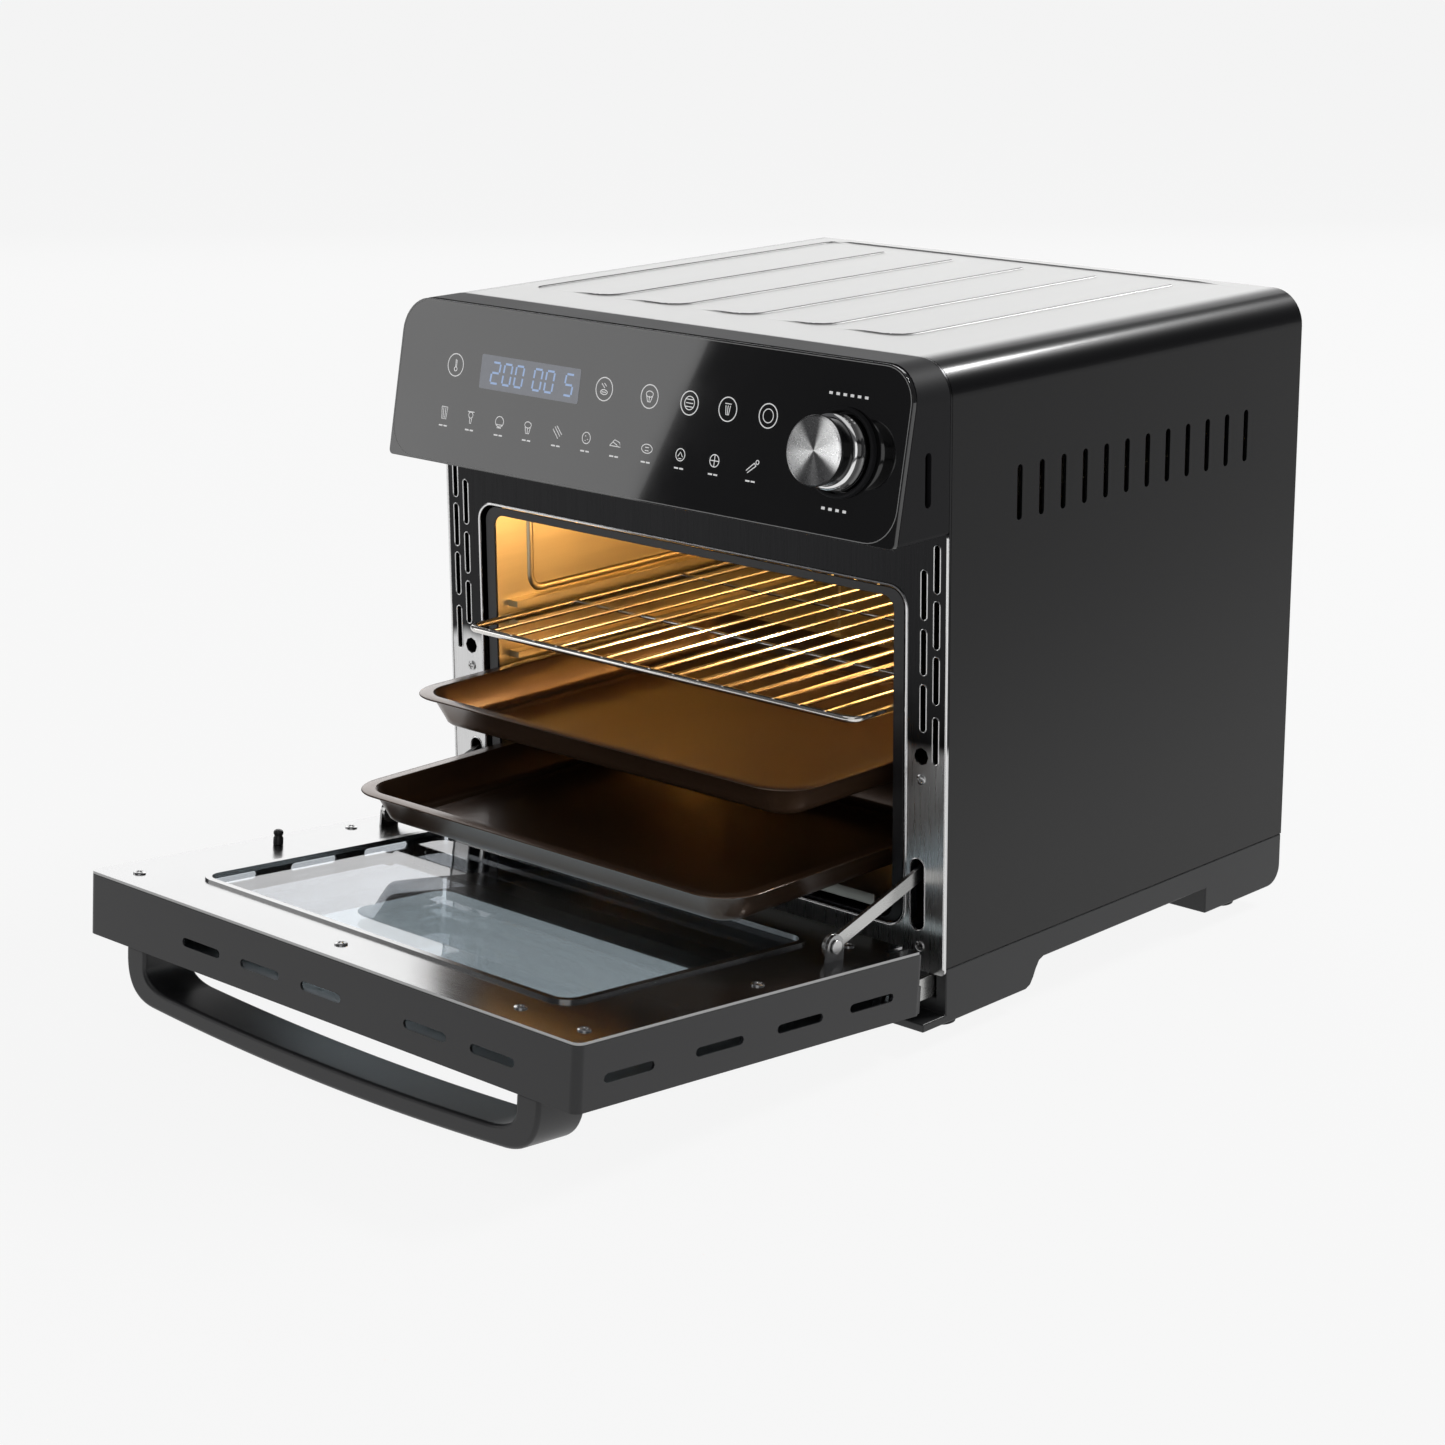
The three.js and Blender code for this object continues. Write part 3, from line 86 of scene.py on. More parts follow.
# ---------- Finishes ----------
# Every finish is one Principled shader whose colour, gloss and fine relief are worked out
# from patterns on the object's own coordinates. Paint, moulding and sheet metal come first.

class Flow:
    """A number or colour running through a finish. The signs + - * add Math nodes."""

    def __init__(self, finish, socket):
        self.finish = finish
        self.socket = socket

    def math(self, operation, *others, last=False):
        numbers = (*others, self) if last else (self, *others)
        return self.finish.node("ShaderNodeMath", {"operation": operation},
                                dict(enumerate(numbers)))

    def __add__(self, other):
        return self.math("ADD", other)

    def __sub__(self, other):
        return self.math("SUBTRACT", other)

    def __rsub__(self, other):
        return self.math("SUBTRACT", other, last=True)

    def __mul__(self, other):
        return self.math("MULTIPLY", other)

    __radd__, __rmul__ = __add__, __mul__


class Finish:
    """A material: its Principled shader and the patterns that feed it."""

    def __init__(self, name, **settings):
        self.material = bpy.data.materials.new(name)
        self.material.use_nodes = True
        self.tree = self.material.node_tree
        self.shader = self.tree.nodes["Principled BSDF"]
        self.place = self.node("ShaderNodeTexCoord", output="Object")
        for socket, value in settings.items():
            self.feed(socket.replace("_", " ").title().replace("Ior", "IOR"), value)

    def connect(self, socket, value):
        if isinstance(value, Flow):
            self.tree.links.new(value.socket, socket)
        elif isinstance(value, tuple) and len(value) == 3 and socket.type == "RGBA":
            socket.default_value = (*value, 1.0)
        else:
            socket.default_value = value

    def feed(self, socket, value):
        self.connect(self.shader.inputs[socket], value)

    def node(self, kind, settings=None, inputs=None, output=0):
        """A node of that type: settings first, then its sockets, and one output as a Flow."""
        made = self.tree.nodes.new(kind)
        for setting, value in (settings or {}).items():
            setattr(made, setting, value)
        for socket, value in (inputs or {}).items():
            self.connect(made.inputs[socket], value)
        return Flow(self, made.outputs[output])

    def noise(self, scale, detail=3.0, stretch=None, roughness=0.5):
        """Soft random values from 0 to 1; stretch squeezes the pattern along X, Y and Z."""
        place = self.place
        if stretch:
            place = self.node("ShaderNodeMapping", None,
                              {"Vector": self.place, "Scale": stretch}, "Vector")
        return self.node("ShaderNodeTexNoise", None, {
            "Vector": place, "Scale": scale, "Detail": detail, "Roughness": roughness,
        }, "Fac")

    def span(self, value, low, high, to_low=0.0, to_high=1.0):
        """value from low..high to to_low..to_high, held at the ends."""
        return self.node("ShaderNodeMapRange", {"interpolation_type": "SMOOTHSTEP"}, {
            "Value": value, "From Min": low, "From Max": high, "To Min": to_low, "To Max": to_high,
        }, "Result")

    def blend(self, share, first, second):
        """A colour between two, by a share from 0 to 1."""
        return self.node("ShaderNodeMix", {"data_type": "RGBA"}, {
            "Factor": share, 6: first, 7: second,
        }, 2)

    def colour(self, share, first, second):
        """Blends the base colour."""
        self.feed("Base Color", self.blend(share, first, second))

    def relief(self, height, depth, strength=1.0):
        """Fine relief from a height pattern, depth in metres."""
        self.feed("Normal", self.node("ShaderNodeBump", None, {
            "Height": height, "Distance": depth, "Strength": strength,
        }, "Normal"))

    def axis(self, name):
        """The X, Y or Z of a point, in metres."""
        return self.node("ShaderNodeSeparateXYZ", None, {"Vector": self.place}, name)


def scaled(shade, by):
    """A colour made darker or lighter."""
    return tuple(min(1.0, by * part) for part in shade)


def cover_paint():
    """Satin black on the sides, lighter towards the bottom as painted sheen, passing to a
    silver-grey satin over the flat of the top as painted reflection, its ribs painted darker as
    painted shade.
    """
    finish = Finish("cover_paint", coat_roughness=0.12, ior=1.5, specular_ior_level=0.10)
    across = finish.axis("X").math("ABSOLUTE")
    on_top = finish.span(across, 0.186, 0.174) * finish.span(finish.axis("Z"), 0.377, 0.381)
    cloud = finish.noise(9.0, 2.0)
    streak = finish.noise(300.0, 3.0, (1.0, 0.02, 1.0))
    # The black of the sides grows lighter towards the bottom: painted sheen.
    dark_with_painted_light = finish.blend(finish.span(finish.axis("Z"), 0.30, 0.06), (0.0035, 0.0035, 0.004),
                        (0.022, 0.022, 0.022))
    # The silver-grey over the flat of the top is painted reflection of the bright studio.
    top_painted_reflection = finish.blend(cloud, (0.40, 0.40, 0.395), (0.47, 0.47, 0.465))
    # The ribs on the top are painted a darker grey: painted shade on their flanks.
    rib_painted_shade = finish.span(finish.axis("Z"), 0.38420, 0.38455)
    top_painted_reflection = finish.blend(rib_painted_shade, top_painted_reflection, (0.10, 0.10, 0.10))
    finish.colour(on_top, dark_with_painted_light, top_painted_reflection)
    finish.feed("Metallic", on_top * 0.85)
    finish.feed("Roughness", 0.27 + on_top * 0.12 + cloud * 0.05 + streak * 0.03)
    finish.feed("Coat Weight", 0.16 * (1.0 - on_top))
    finish.relief(finish.noise(1400.0, 2.0) * 0.6 + streak * 0.4, 2e-5)
    return finish


def grained_black(name, shade, roughness, grain=900.0, depth=3e-5, shine=0.5):
    """Black paint or moulding: an even fine grain, and slow drifts of gloss."""
    finish = Finish(name, ior=1.46, specular_ior_level=shine)
    drift = finish.noise(14.0, 2.0)
    speck = finish.noise(grain, 4.0, roughness=0.7)
    finish.colour(drift * 0.6 + speck * 0.4, scaled(shade, 0.85), scaled(shade, 1.2))
    finish.feed("Roughness", roughness - 0.05 + drift * 0.08 + speck * 0.05)
    finish.relief(speck, depth)
    return finish


def rolled_metal(name, shade, roughness, lines=(1.0, 1.0, 1.0), scale=300.0, depth=1e-5):
    """Sheet or bar metal: hair-fine rolling lines along one axis, and faint clouding."""
    finish = Finish(name, metallic=1.0)
    cloud = finish.noise(11.0, 3.0)
    hair = finish.noise(scale, 4.0, lines, 0.65)
    finish.colour(cloud * 0.5 + hair * 0.5, scaled(shade, 0.86), scaled(shade, 1.1))
    finish.feed("Roughness", roughness * 0.8 + hair * roughness * 0.45 + cloud * 0.03)
    finish.relief(hair, depth)
    return finish


# ---------- Outer cover ----------
# One sheet of painted steel bent over the oven, open at the front and back. Ribs pressed
# into its top stiffen it, and louvres in both sides let hot air out.


def box_mm(node):
    """A node's lowest and highest corners, in millimetres."""
    return [np.array(corner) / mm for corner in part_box(node)]


def middle_of(node):
    """The middle of a node's box, in millimetres."""
    return sum(box_mm(node)) / 2


cover_low, cover_high = box_mm("outer_cover")
cover_radius = 21
cover_sheet = 1.5
rib_room, rib_height = 1.0, 0.9
rib_half = 1.3
rib_bend = 13
rib_columns = (-100, -43, 14, 71, 128)
front_of_ribs = cover_low[1] + 43.2
back_of_ribs = cover_low[1] + 294.2
back_line = cover_low[1] + 316.2
rib_grid = 0.8
finest_gap = 0.25
side_rows = 14
hook_reach = 31
edge_rib = -160
edge_rib_end = 135
louvre_count = 12
louvre_pitch = 19.5
louvre_first = cover_low[1] + 58.2
louvre_low, louvre_high, louvre_width = 289, 320, 4.5


def rib_relief(x, y):
    """Height of the ribs: a raised cosine of the distance to each rib's centre line, which
    runs across, turns a quarter circle and then runs straight."""

    def to_segment(x0, y0, x1, y1):
        run = np.array([x1 - x0, y1 - y0])
        share = ((x - x0) * run[0] + (y - y0) * run[1]) / (run @ run)
        share = np.clip(share, 0.0, 1.0)
        return np.hypot(x - x0 - share * run[0], y - y0 - share * run[1])

    def to_quarter(cx, cy, low_side, right_side):
        from_bend = np.abs(np.hypot(x - cx, y - cy) - rib_bend)
        inside = ((y < cy) if low_side else (y > cy)) & ((x > cx) if right_side else (x < cx))
        return np.where(inside, from_bend, 1e3)

    distance = np.full(np.broadcast(x, y).shape, 1e3)
    for column in rib_columns:
        bend_x, bend_y = column - rib_bend, front_of_ribs + rib_bend
        hook = to_segment(column - hook_reach, front_of_ribs, bend_x, front_of_ribs)
        distance = np.minimum(distance, hook)
        distance = np.minimum(distance, to_quarter(bend_x, bend_y, True, True))
        distance = np.minimum(distance, to_segment(column, bend_y, column, back_of_ribs))
    bend_x, bend_y = edge_rib + rib_bend, back_line - rib_bend
    distance = np.minimum(distance, to_segment(edge_rib, front_of_ribs, edge_rib, bend_y))
    distance = np.minimum(distance, to_quarter(bend_x, bend_y, False, False))
    distance = np.minimum(distance, to_segment(bend_x, back_line, edge_rib_end, back_line))
    share = np.clip(distance / rib_half, 0.0, 1.0)
    return rib_height * 0.5 * (1.0 + np.cos(np.pi * share))


def lines_near(places, reach_low, reach_high, base):
    """Grid lines: an even set, with closer ones wherever a rib passes."""
    close = np.array([-2.6, -1.7, -1.2, -0.8, -0.4, 0.0, 0.4, 0.8, 1.2, 1.7, 2.6])
    every = [np.asarray(base)]
    for place in places:
        every.append(place + close)
        every.append(np.arange(place - reach_low, place + reach_high, rib_grid))
    lines = np.unique(np.round(np.concatenate(every), 2))
    return lines[np.concatenate([[True], np.diff(lines) > finest_gap])]


def grid_faces(rows, columns, wrap_rows=False, wrap_columns=False):
    """Quads over a rows by columns grid of points, closed on itself where asked."""
    r = np.arange(rows if wrap_rows else rows - 1)[:, None]
    c = np.arange(columns if wrap_columns else columns - 1)[None, :]
    r1, c1 = (r + 1) % rows, (c + 1) % columns
    quads = np.stack([r * columns + c, r * columns + c1, r1 * columns + c1, r1 * columns + c], -1)
    return quads.reshape(-1, 4)


def new_piece(name, points, faces, finish, scale=mm):
    """An object whose place is in its mesh, from points in millimetres."""
    mesh = bpy.data.meshes.new(name)
    mesh.from_pydata(np.asarray(points, float).reshape(-1, 3) * scale, [], [list(f) for f in faces])
    mesh.materials.append(finish.material)
    return placed(name, mesh)


def baked(piece):
    """The piece with its modifiers worked into its mesh."""
    graph = bpy.context.evaluated_depsgraph_get()
    finished = bpy.data.meshes.new_from_object(piece.evaluated_get(graph))
    rough = piece.data
    piece.modifiers.clear()
    piece.data = finished
    bpy.data.meshes.remove(rough)
    return piece


def smoothed(piece):
    """Smooth shading, with edges sharper than 35 degrees kept crisp."""
    piece.data.shade_smooth()
    piece.data.set_sharp_from_angle(angle=math.radians(35))
    return piece


def turn_outwards(piece):
    """Faces turned to point out of the closed mesh, doubles merged first."""
    sheet = bmesh.new()
    sheet.from_mesh(piece.data)
    bmesh.ops.remove_doubles(sheet, verts=sheet.verts, dist=1e-6)
    bmesh.ops.recalc_face_normals(sheet, faces=sheet.faces)
    sheet.to_mesh(piece.data)
    sheet.free()
    return piece


def eased(piece, width, segments=2, angle=38):
    """Edges rounded by a width in millimetres. Normals are weighted by the area of their
    faces, so that flat faces stay flat under smooth shading."""
    bevel = piece.modifiers.new("eased edges", "BEVEL")
    bevel.width = width * mm
    bevel.segments = segments
    bevel.limit_method = "ANGLE"
    bevel.angle_limit = math.radians(angle)
    bevel.use_clamp_overlap = True
    smoothed(baked(piece))
    flat = piece.modifiers.new("flat faces", "WEIGHTED_NORMAL")
    flat.keep_sharp = True
    flat.weight = 100
    return baked(piece)


def rounded_outline(x0, x1, y0, y1, radius, steps=8):
    """Points round a rectangle whose corners are arcs of one radius, anticlockwise."""
    corners = [(x1 - radius, y1 - radius, 0), (x0 + radius, y1 - radius, 90),
               (x0 + radius, y0 + radius, 180), (x1 - radius, y0 + radius, 270)]
    turn = np.radians(np.linspace(0.0, 90, steps + 1))
    points = [np.stack([cx + radius * np.cos(turn + math.radians(start)),
                        cy + radius * np.sin(turn + math.radians(start))], -1)
              for cx, cy, start in corners]
    return np.concatenate(points)


def prism(outline, low, high, place):
    """Points and faces of a flat outline carried from low to high; place puts (u, v, w)
    points into the oven's own axes."""
    count = len(outline)
    levels = [np.column_stack([outline, np.full(count, level)]) for level in (low, high)]
    points = place(np.concatenate(levels))
    faces = [list(range(count))[::-1], list(range(count, 2 * count))]
    faces += grid_faces(2, count, wrap_columns=True).tolist()
    return points, faces


def gathered(parts):
    """Several (points, faces) shapes as one."""
    points, faces, start = [], [], 0
    for some_points, some_faces in parts:
        points.append(np.asarray(some_points).reshape(-1, 3))
        faces += [[start + corner for corner in face] for face in some_faces]
        start += len(points[-1])
    return np.concatenate(points), faces


def cut_away(piece, cutters):
    """The piece less some closed shapes, given as (points, faces)."""
    tool = turn_outwards(new_piece("cutter", *gathered(cutters), cover_finish))
    boolean = piece.modifiers.new("cut", "BOOLEAN")
    boolean.operation = "DIFFERENCE"
    boolean.solver = "EXACT"
    boolean.object = tool
    baked(piece)
    bpy.data.objects.remove(tool)
    return piece


def settled(piece, slot, *nodes, body="oven_body"):
    """Rides the piece on its body and hides the CAD nodes it stands for. Its slot is not used."""
    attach(piece, body)
    if nodes:
        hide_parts(*nodes)
    return piece


cover_finish = cover_paint()


def cover_surface():
    """The bent sheet: height up one side, a quarter circle, across the top with its ribs,
    a quarter circle and down the other side, repeated at each depth. The inner face is the
    same less the sheet's thickness along its outward direction, and a rim joins the two."""
    low, high = cover_low[2], cover_high[2] - rib_room
    straight = np.linspace(low, high - cover_radius, side_rows)
    turn = np.radians(np.linspace(0.0, 90, 13))[1:-1]
    flat = lines_near((*rib_columns, edge_rib), rib_bend + 1.0, 1.0,
                      np.linspace(cover_low[0] + cover_radius, cover_high[0] - cover_radius, 24))
    inner = cover_high[0] - cover_radius
    x = np.concatenate([np.full(side_rows, cover_low[0]), -inner - cover_radius * np.cos(turn),
                        flat, inner + cover_radius * np.sin(turn),
                        np.full(side_rows, cover_high[0])])
    z = np.concatenate([straight, high - cover_radius + cover_radius * np.sin(turn),
                        np.full(len(flat), high),
                        high - cover_radius + cover_radius * np.cos(turn), straight[::-1]])
    y = lines_near((front_of_ribs, back_line), 1.0, rib_bend + 1.0,
                   np.linspace(cover_low[1], cover_high[1], 22))
    rear_bend = np.arange(back_line - rib_bend - 1, back_line, rib_grid)
    rib_ends = back_of_ribs + np.linspace(-2.4, 2.4, 9)
    y = np.unique(np.round(np.concatenate([y, rear_bend, rib_ends]), 2))
    margin = 0.3
    y = y[(y > cover_low[1] + margin) & (y < cover_high[1] - margin)]
    y = y[np.concatenate([[True], np.diff(y) > finest_gap])]
    y = np.concatenate([[cover_low[1]], y, [cover_high[1]]])
    on_top = (np.abs(x) <= inner + 1e-6) & (z > high - 1e-6)
    lift = np.where(on_top[None, :], rib_relief(x[None, :], y[:, None]), 0.0)
    points = np.stack([np.broadcast_to(x, lift.shape), np.broadcast_to(y[:, None], lift.shape),
                       z + lift], -1)
    side, top = np.ones(side_rows), np.ones(len(flat))
    out_x = np.concatenate([-side, -np.cos(turn), 0.0 * top, np.sin(turn), side])
    out_z = np.concatenate([0.0 * side, np.sin(turn), top, np.cos(turn), 0.0 * side])
    inside = points - cover_sheet * np.stack([out_x, 0.0 * out_x, out_z], -1)
    rows, columns = len(y), len(x)
    faces = grid_faces(rows, columns)
    index = np.arange(rows * columns).reshape(rows, columns)
    edge = np.concatenate([index[0], index[1:, -1], index[-1, -2::-1], index[-2:0:-1, 0]])
    following = np.roll(edge, -1)
    rim = np.stack([edge, following, following + rows * columns, edge + rows * columns], -1)
    faces = np.concatenate([faces, faces[:, ::-1] + rows * columns, rim])
    return np.concatenate([points.reshape(-1, 3), inside.reshape(-1, 3)]), faces


cover = turn_outwards(new_piece("cover_sheet", *cover_surface(), cover_finish))
louvres = []
for index in range(louvre_count):
    middle = louvre_first + index * louvre_pitch
    outline = rounded_outline(middle - louvre_width / 2, middle + louvre_width / 2, louvre_low,
                              louvre_high, louvre_width / 2 - 0.01, 4)
    reach = cover_high[0] + 3
    louvres.append(prism(outline, -reach, reach, lambda p: p[:, [2, 0, 1]]))
settled(eased(cut_away(cover, louvres), 0.35), "cover_paint", "outer_cover")


# ---------- Front frame ----------
# A steel face behind the door, bright at the foot and dark above as painted reflection. Its outer
# edge and
# the mouth of the oven are folded, and slots in the jambs let air rise past the door.

def frame_painted_reflection():
    """Polished steel at the foot of the jambs, passing upwards into near black: the change by
    height is painted reflection.
    """
    finish = rolled_metal("frame_steel_painted_reflection", (0.60, 0.60, 0.60), 0.26, (1.0, 1.0, 0.03), 700, 4e-6)
    # Bright steel low down and near black above, by height: painted reflection.
    height = finish.axis("Z") + finish.noise(30, 2) * 0.02
    bright = finish.noise(700, 3, (1.0, 1.0, 0.03))
    steel = finish.blend(bright, (0.58, 0.58, 0.58), (0.74, 0.74, 0.74))
    dark_with_painted_light = finish.blend(bright, (0.016, 0.016, 0.017), (0.024, 0.024, 0.025))
    finish.colour(finish.span(height, 0.176, 0.186), steel, dark_with_painted_light)
    return finish


frame_steel_painted_reflection = frame_painted_reflection()


def dressed(node, finish, slot, ease, segments=2, body="oven_body"):
    """A copy of a CAD node, its flat faces joined up and its edges eased."""
    sheet = bmesh.new()
    sheet.from_mesh(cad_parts[node].data)
    bmesh.ops.remove_doubles(sheet, verts=sheet.verts, dist=1e-5)
    bmesh.ops.dissolve_limit(sheet, angle_limit=math.radians(0.7), verts=sheet.verts,
                             edges=sheet.edges)
    piece = new_piece(f"{node}_shaped", [], [], finish)
    sheet.to_mesh(piece.data)
    sheet.free()
    return settled(eased(piece, ease, segments), slot, node, body=body)


dressed("front_frame", frame_steel_painted_reflection, "polished_steel", 0.55, 3)


def across(direction):
    """Two unit vectors at right angles to a direction, by which a circle is laid out."""
    direction = np.asarray(direction, float)
    direction = direction / np.linalg.norm(direction)
    helper = np.array([0.0, 0.0, 1.0]) if abs(direction[2]) < 0.9 else np.array([1.0, 0.0, 0.0])
    first = np.cross(helper, direction)
    first /= np.linalg.norm(first)
    return direction, first, np.cross(direction, first)


def full_turn(steps):
    """Even angles all the way round."""
    return np.linspace(0.0, 2 * np.pi, steps, endpoint=False)


def spun(profile, origin, direction, steps=40, ring=False):
    """A profile of (radius, height) points carried round an axis: origin + height along the
    axis + radius times (cos, sin) across it. A ring's profile closes on itself."""
    axis, first, second = across(direction)
    profile = np.asarray(profile, float)
    angle = full_turn(steps)
    radial = np.cos(angle)[:, None] * first + np.sin(angle)[:, None] * second
    points = (np.asarray(origin, float) + profile[:, 1][:, None, None] * axis
              + profile[:, 0][:, None, None] * radial[None, :, :])
    return points.reshape(-1, 3), grid_faces(len(profile), steps, ring, True).tolist()


def made(name, parts, finish, slot, *nodes, body="oven_body"):
    """Closed shapes gathered into one smooth piece that rides on a body."""
    piece = new_piece(name, *gathered(parts), finish)
    return settled(smoothed(turn_outwards(piece)), slot, *nodes, body=body)


screw_steel = rolled_metal("screw_steel", (0.55, 0.55, 0.55), 0.22, (1.0, 1.0, 1.0), 900, 4e-6)


def screw_head(origin, direction, radius=3.4, height=1.7):
    """A pan head with a cross recess: a dome lowered wherever a point lies within the arms
    of a cross about its middle."""
    axis, first, second = across(direction)
    reach = np.concatenate([np.linspace(0.02, 0.72, 12), [0.82, 0.92, 1.0, 1.0]])
    angle = full_turn(48)
    u = radius * reach[:, None] * np.cos(angle)
    v = radius * reach[:, None] * np.sin(angle)
    dome = height * np.sqrt(np.clip(1.0 - 0.75 * reach ** 2, 0.0, 1.0))[:, None] + 0.0 * u
    arm = 0.16 * radius
    in_cross = (np.minimum(np.abs(u), np.abs(v)) < arm) & (np.hypot(u, v) < 0.6 * radius)
    dome = np.where(in_cross, dome - 0.55 * height, dome)
    dome[-1] = -0.1
    points = (np.asarray(origin, float) + u[..., None] * first + v[..., None] * second
              + dome[..., None] * axis).reshape(-1, 3)
    faces = grid_faces(len(reach), len(angle), False, True).tolist()
    faces.append(list(range(len(angle)))[::-1])
    faces.append(list(range(len(points) - len(angle), len(points))))
    return points, faces


frame_low = box_mm("front_frame")[0]
jamb_across = 182
jamb_screws = [(side * jamb_across, frame_low[1], height)
               for side in (-1, 1) for height in (151, 54)]


def carried(path, section, closed=False, normal=(0.0, 0.0, 1.0)):
    """A section of (side, up) points carried along a path. side runs across the path in the
    plane whose normal is given, and up runs along that normal as far as the path lets it."""
    path = np.asarray(path, float)
    if closed:
        along = np.roll(path, -1, 0) - np.roll(path, 1, 0)
    else:
        along = np.gradient(path, axis=0)
    along /= np.linalg.norm(along, axis=1)[:, None]
    side = np.cross(along, np.asarray(normal, float))
    side /= np.linalg.norm(side, axis=1)[:, None]
    up = np.cross(side, along)
    section = np.asarray(section, float)
    points = (path[:, None, :] + section[None, :, :1] * side[:, None, :]
              + section[None, :, 1:] * up[:, None, :])
    count = len(section)
    faces = grid_faces(len(path), count, closed, True).tolist()
    if not closed:
        faces.append(list(range(count)))
        faces.append(list(range((len(path) - 1) * count, len(path) * count)))
    return points.reshape(-1, 3), faces


def round_section(radius, sides=12):
    """Points round a circle."""
    return radius * np.stack([np.cos(full_turn(sides)), np.sin(full_turn(sides))], -1)


def slot_outline(x, low, high, half):
    """Points round an upright slot with round ends."""
    return rounded_outline(x - half, x + half, low, high, half - 0.01, 6)


def frame_trim(outline, radius):
    """A bright rolled edge that follows an outline on the front of the frame."""
    path = np.column_stack([outline[:, 0], np.full(len(outline), frame_low[1]), outline[:, 1]])
    return carried(path, round_section(radius, 8), True, (0.0, -1.0, 0.0))


inner_slots = [(178, 205), (210, 236), (241, 269)]
outer_slots = [(161, 188), (195, 222), (226, 253), (257, 284)]
mouth_half, mouth_low, mouth_top, mouth_radius = 171, 62, 257, 12
mouth = rounded_outline(-mouth_half, mouth_half, mouth_low, mouth_top, mouth_radius)
trims = [frame_trim(mouth, 0.9)]
for side in (-1, 1):
    for across_frame, slots in ((183, inner_slots), (192, outer_slots)):
        trims += [frame_trim(slot_outline(side * across_frame, low, high, 2.2), 0.35)
                  for low, high in slots]
    trims.append(frame_trim(slot_outline(side * 180, 63, 105, 5.2), 0.4))
    edge = side * 199.2
    trims.append(frame_trim(rounded_outline(edge - 0.3, edge + 0.3, 44, 289, 0.28, 3), 0.5))
trim_steel = rolled_metal("trim_steel", (0.80, 0.80, 0.80), 0.2, (1.0, 1.0, 0.05), 600, 3e-6)
made("frame_trims", trims, trim_steel, "polished_steel")
made("frame_screws", [screw_head(place, (0, -1, 0), 3, 1.2) for place in jamb_screws],
     screw_steel, "polished_steel")


# ---------- Base, feet and back ----------
# A moulded black base on four rubber feet, arched at the sides for fingers, and a zinc
# plated back panel with a vent hood and the bush that the mains lead comes through.

base_black = grained_black("base_black", (0.0125, 0.013, 0.014), 0.42)
foot_rubber = grained_black("foot_rubber", (0.012, 0.012, 0.012), 0.8, 500, 6e-5)
back_zinc = rolled_metal("back_zinc", (0.30, 0.305, 0.305), 0.34, (1.0, 1.0, 0.05), 260)
dressed("base_frame", base_black, "black_plastic", 0.9, 3)
dressed("rear_panel", back_zinc, "zinc_steel", 0.35)
dressed("rear_vent_hood", base_black, "black_plastic", 1.1, 4)

for foot in ("front_left", "front_right", "rear_left", "rear_right"):
    low, high = box_mm(f"foot_{foot}")
    centre = middle_of(f"foot_{foot}")
    radius, tall = (high[0] - low[0]) / 2, high[2] - low[2]
    outline = [(0, 0), (4.2, 0), (4.6, 0.7), (5.4, 0.7), (5.8, 0), (7.2, 0), (8.1, 0.5),
               (radius - 0.2, 2.2),
               (radius, 3.2), (radius, tall - 3.4), (radius - 0.7, tall - 3),
               (radius - 0.7, tall - 2.4),
               (radius, tall - 2), (radius, tall), (0, tall)]
    made(f"foot_{foot}_rubber", [spun(outline, (*centre[:2], low[2]), (0, 0, 1))],
         foot_rubber, "rubber", f"foot_{foot}")

gland_low, gland_high = box_mm("cord_gland")
gland_middle = middle_of("cord_gland")
gland_reach = gland_high[1] - gland_low[1]
gland_ribs = [(9 - 0.14 * step - (0.9 if step % 2 else 0.0),
               12.4 + step * 1.1) for step in range(10)]
gland_outline = [(4, 0), (9, 0), (9, 9.4), (12.6, 9.4), (13, 9.8), (13, 11.8), (12.4, 12.4),
                 *gland_ribs, (6.6, gland_reach), (4.4, gland_reach), (4, gland_reach - 0.4)]
made("cord_gland_ribbed", [spun(gland_outline, (gland_middle[0], gland_low[1], gland_middle[2]),
                                (0, 1, 0), ring=True)],
     foot_rubber, "rubber", "cord_gland")

back_face = box_mm("rear_panel")[1][1]
back_screws = [(x, back_face, z) for x in (-185, 185) for z in (60, 150, 250, 345)]
back_screws += [(x, back_face, 368) for x in (-130, 130)]
made("back_screws", [screw_head(place, (0, 1, 0)) for place in back_screws], screw_steel,
     "polished_steel")


# ---------- Cavity ----------
# A welded box of aluminised steel. Its walls carry pressed ledges for the rack and trays
# and a shallow raised panel that keeps the thin sheet flat when it is hot.

cavity_steel = rolled_metal("cavity_steel", (0.62, 0.53, 0.36), 0.30, (1.0, 0.05, 1.0), 240)
dark_enamel = grained_black("dark_enamel", (0.010, 0.010, 0.011), 0.32, 700, 1e-5)
for wall in ("left_wall", "right_wall", "back_wall", "ceiling"):
    dressed(f"cavity_{wall}", cavity_steel, "aluminised_steel", 0.4)
dressed("cavity_floor", dark_enamel, "dark_enamel", 0.4)
dressed("cavity_flange", dark_enamel, "dark_enamel", 0.35)


def bead_section(width, height, sunk=0.5):
    """A low arch that starts and ends a little below the sheet it is pressed in."""
    turn = np.linspace(0.0, np.pi, 8)
    arch = np.stack([width / 2 * np.cos(turn), height * np.sin(turn)], -1)
    return np.concatenate([[[width / 2, -sunk]], arch, [[-width / 2, -sunk]]])


def on_plane(fixed_axis, value):
    """Puts (u, v) points on a plane across X, Y or Z, in the order of the other two axes."""
    others = [axis for axis in range(3) if axis != fixed_axis]

    def place(points):
        full = np.full((len(points), 3), float(value))
        full[:, others] = points[:, :2]
        return full

    return place


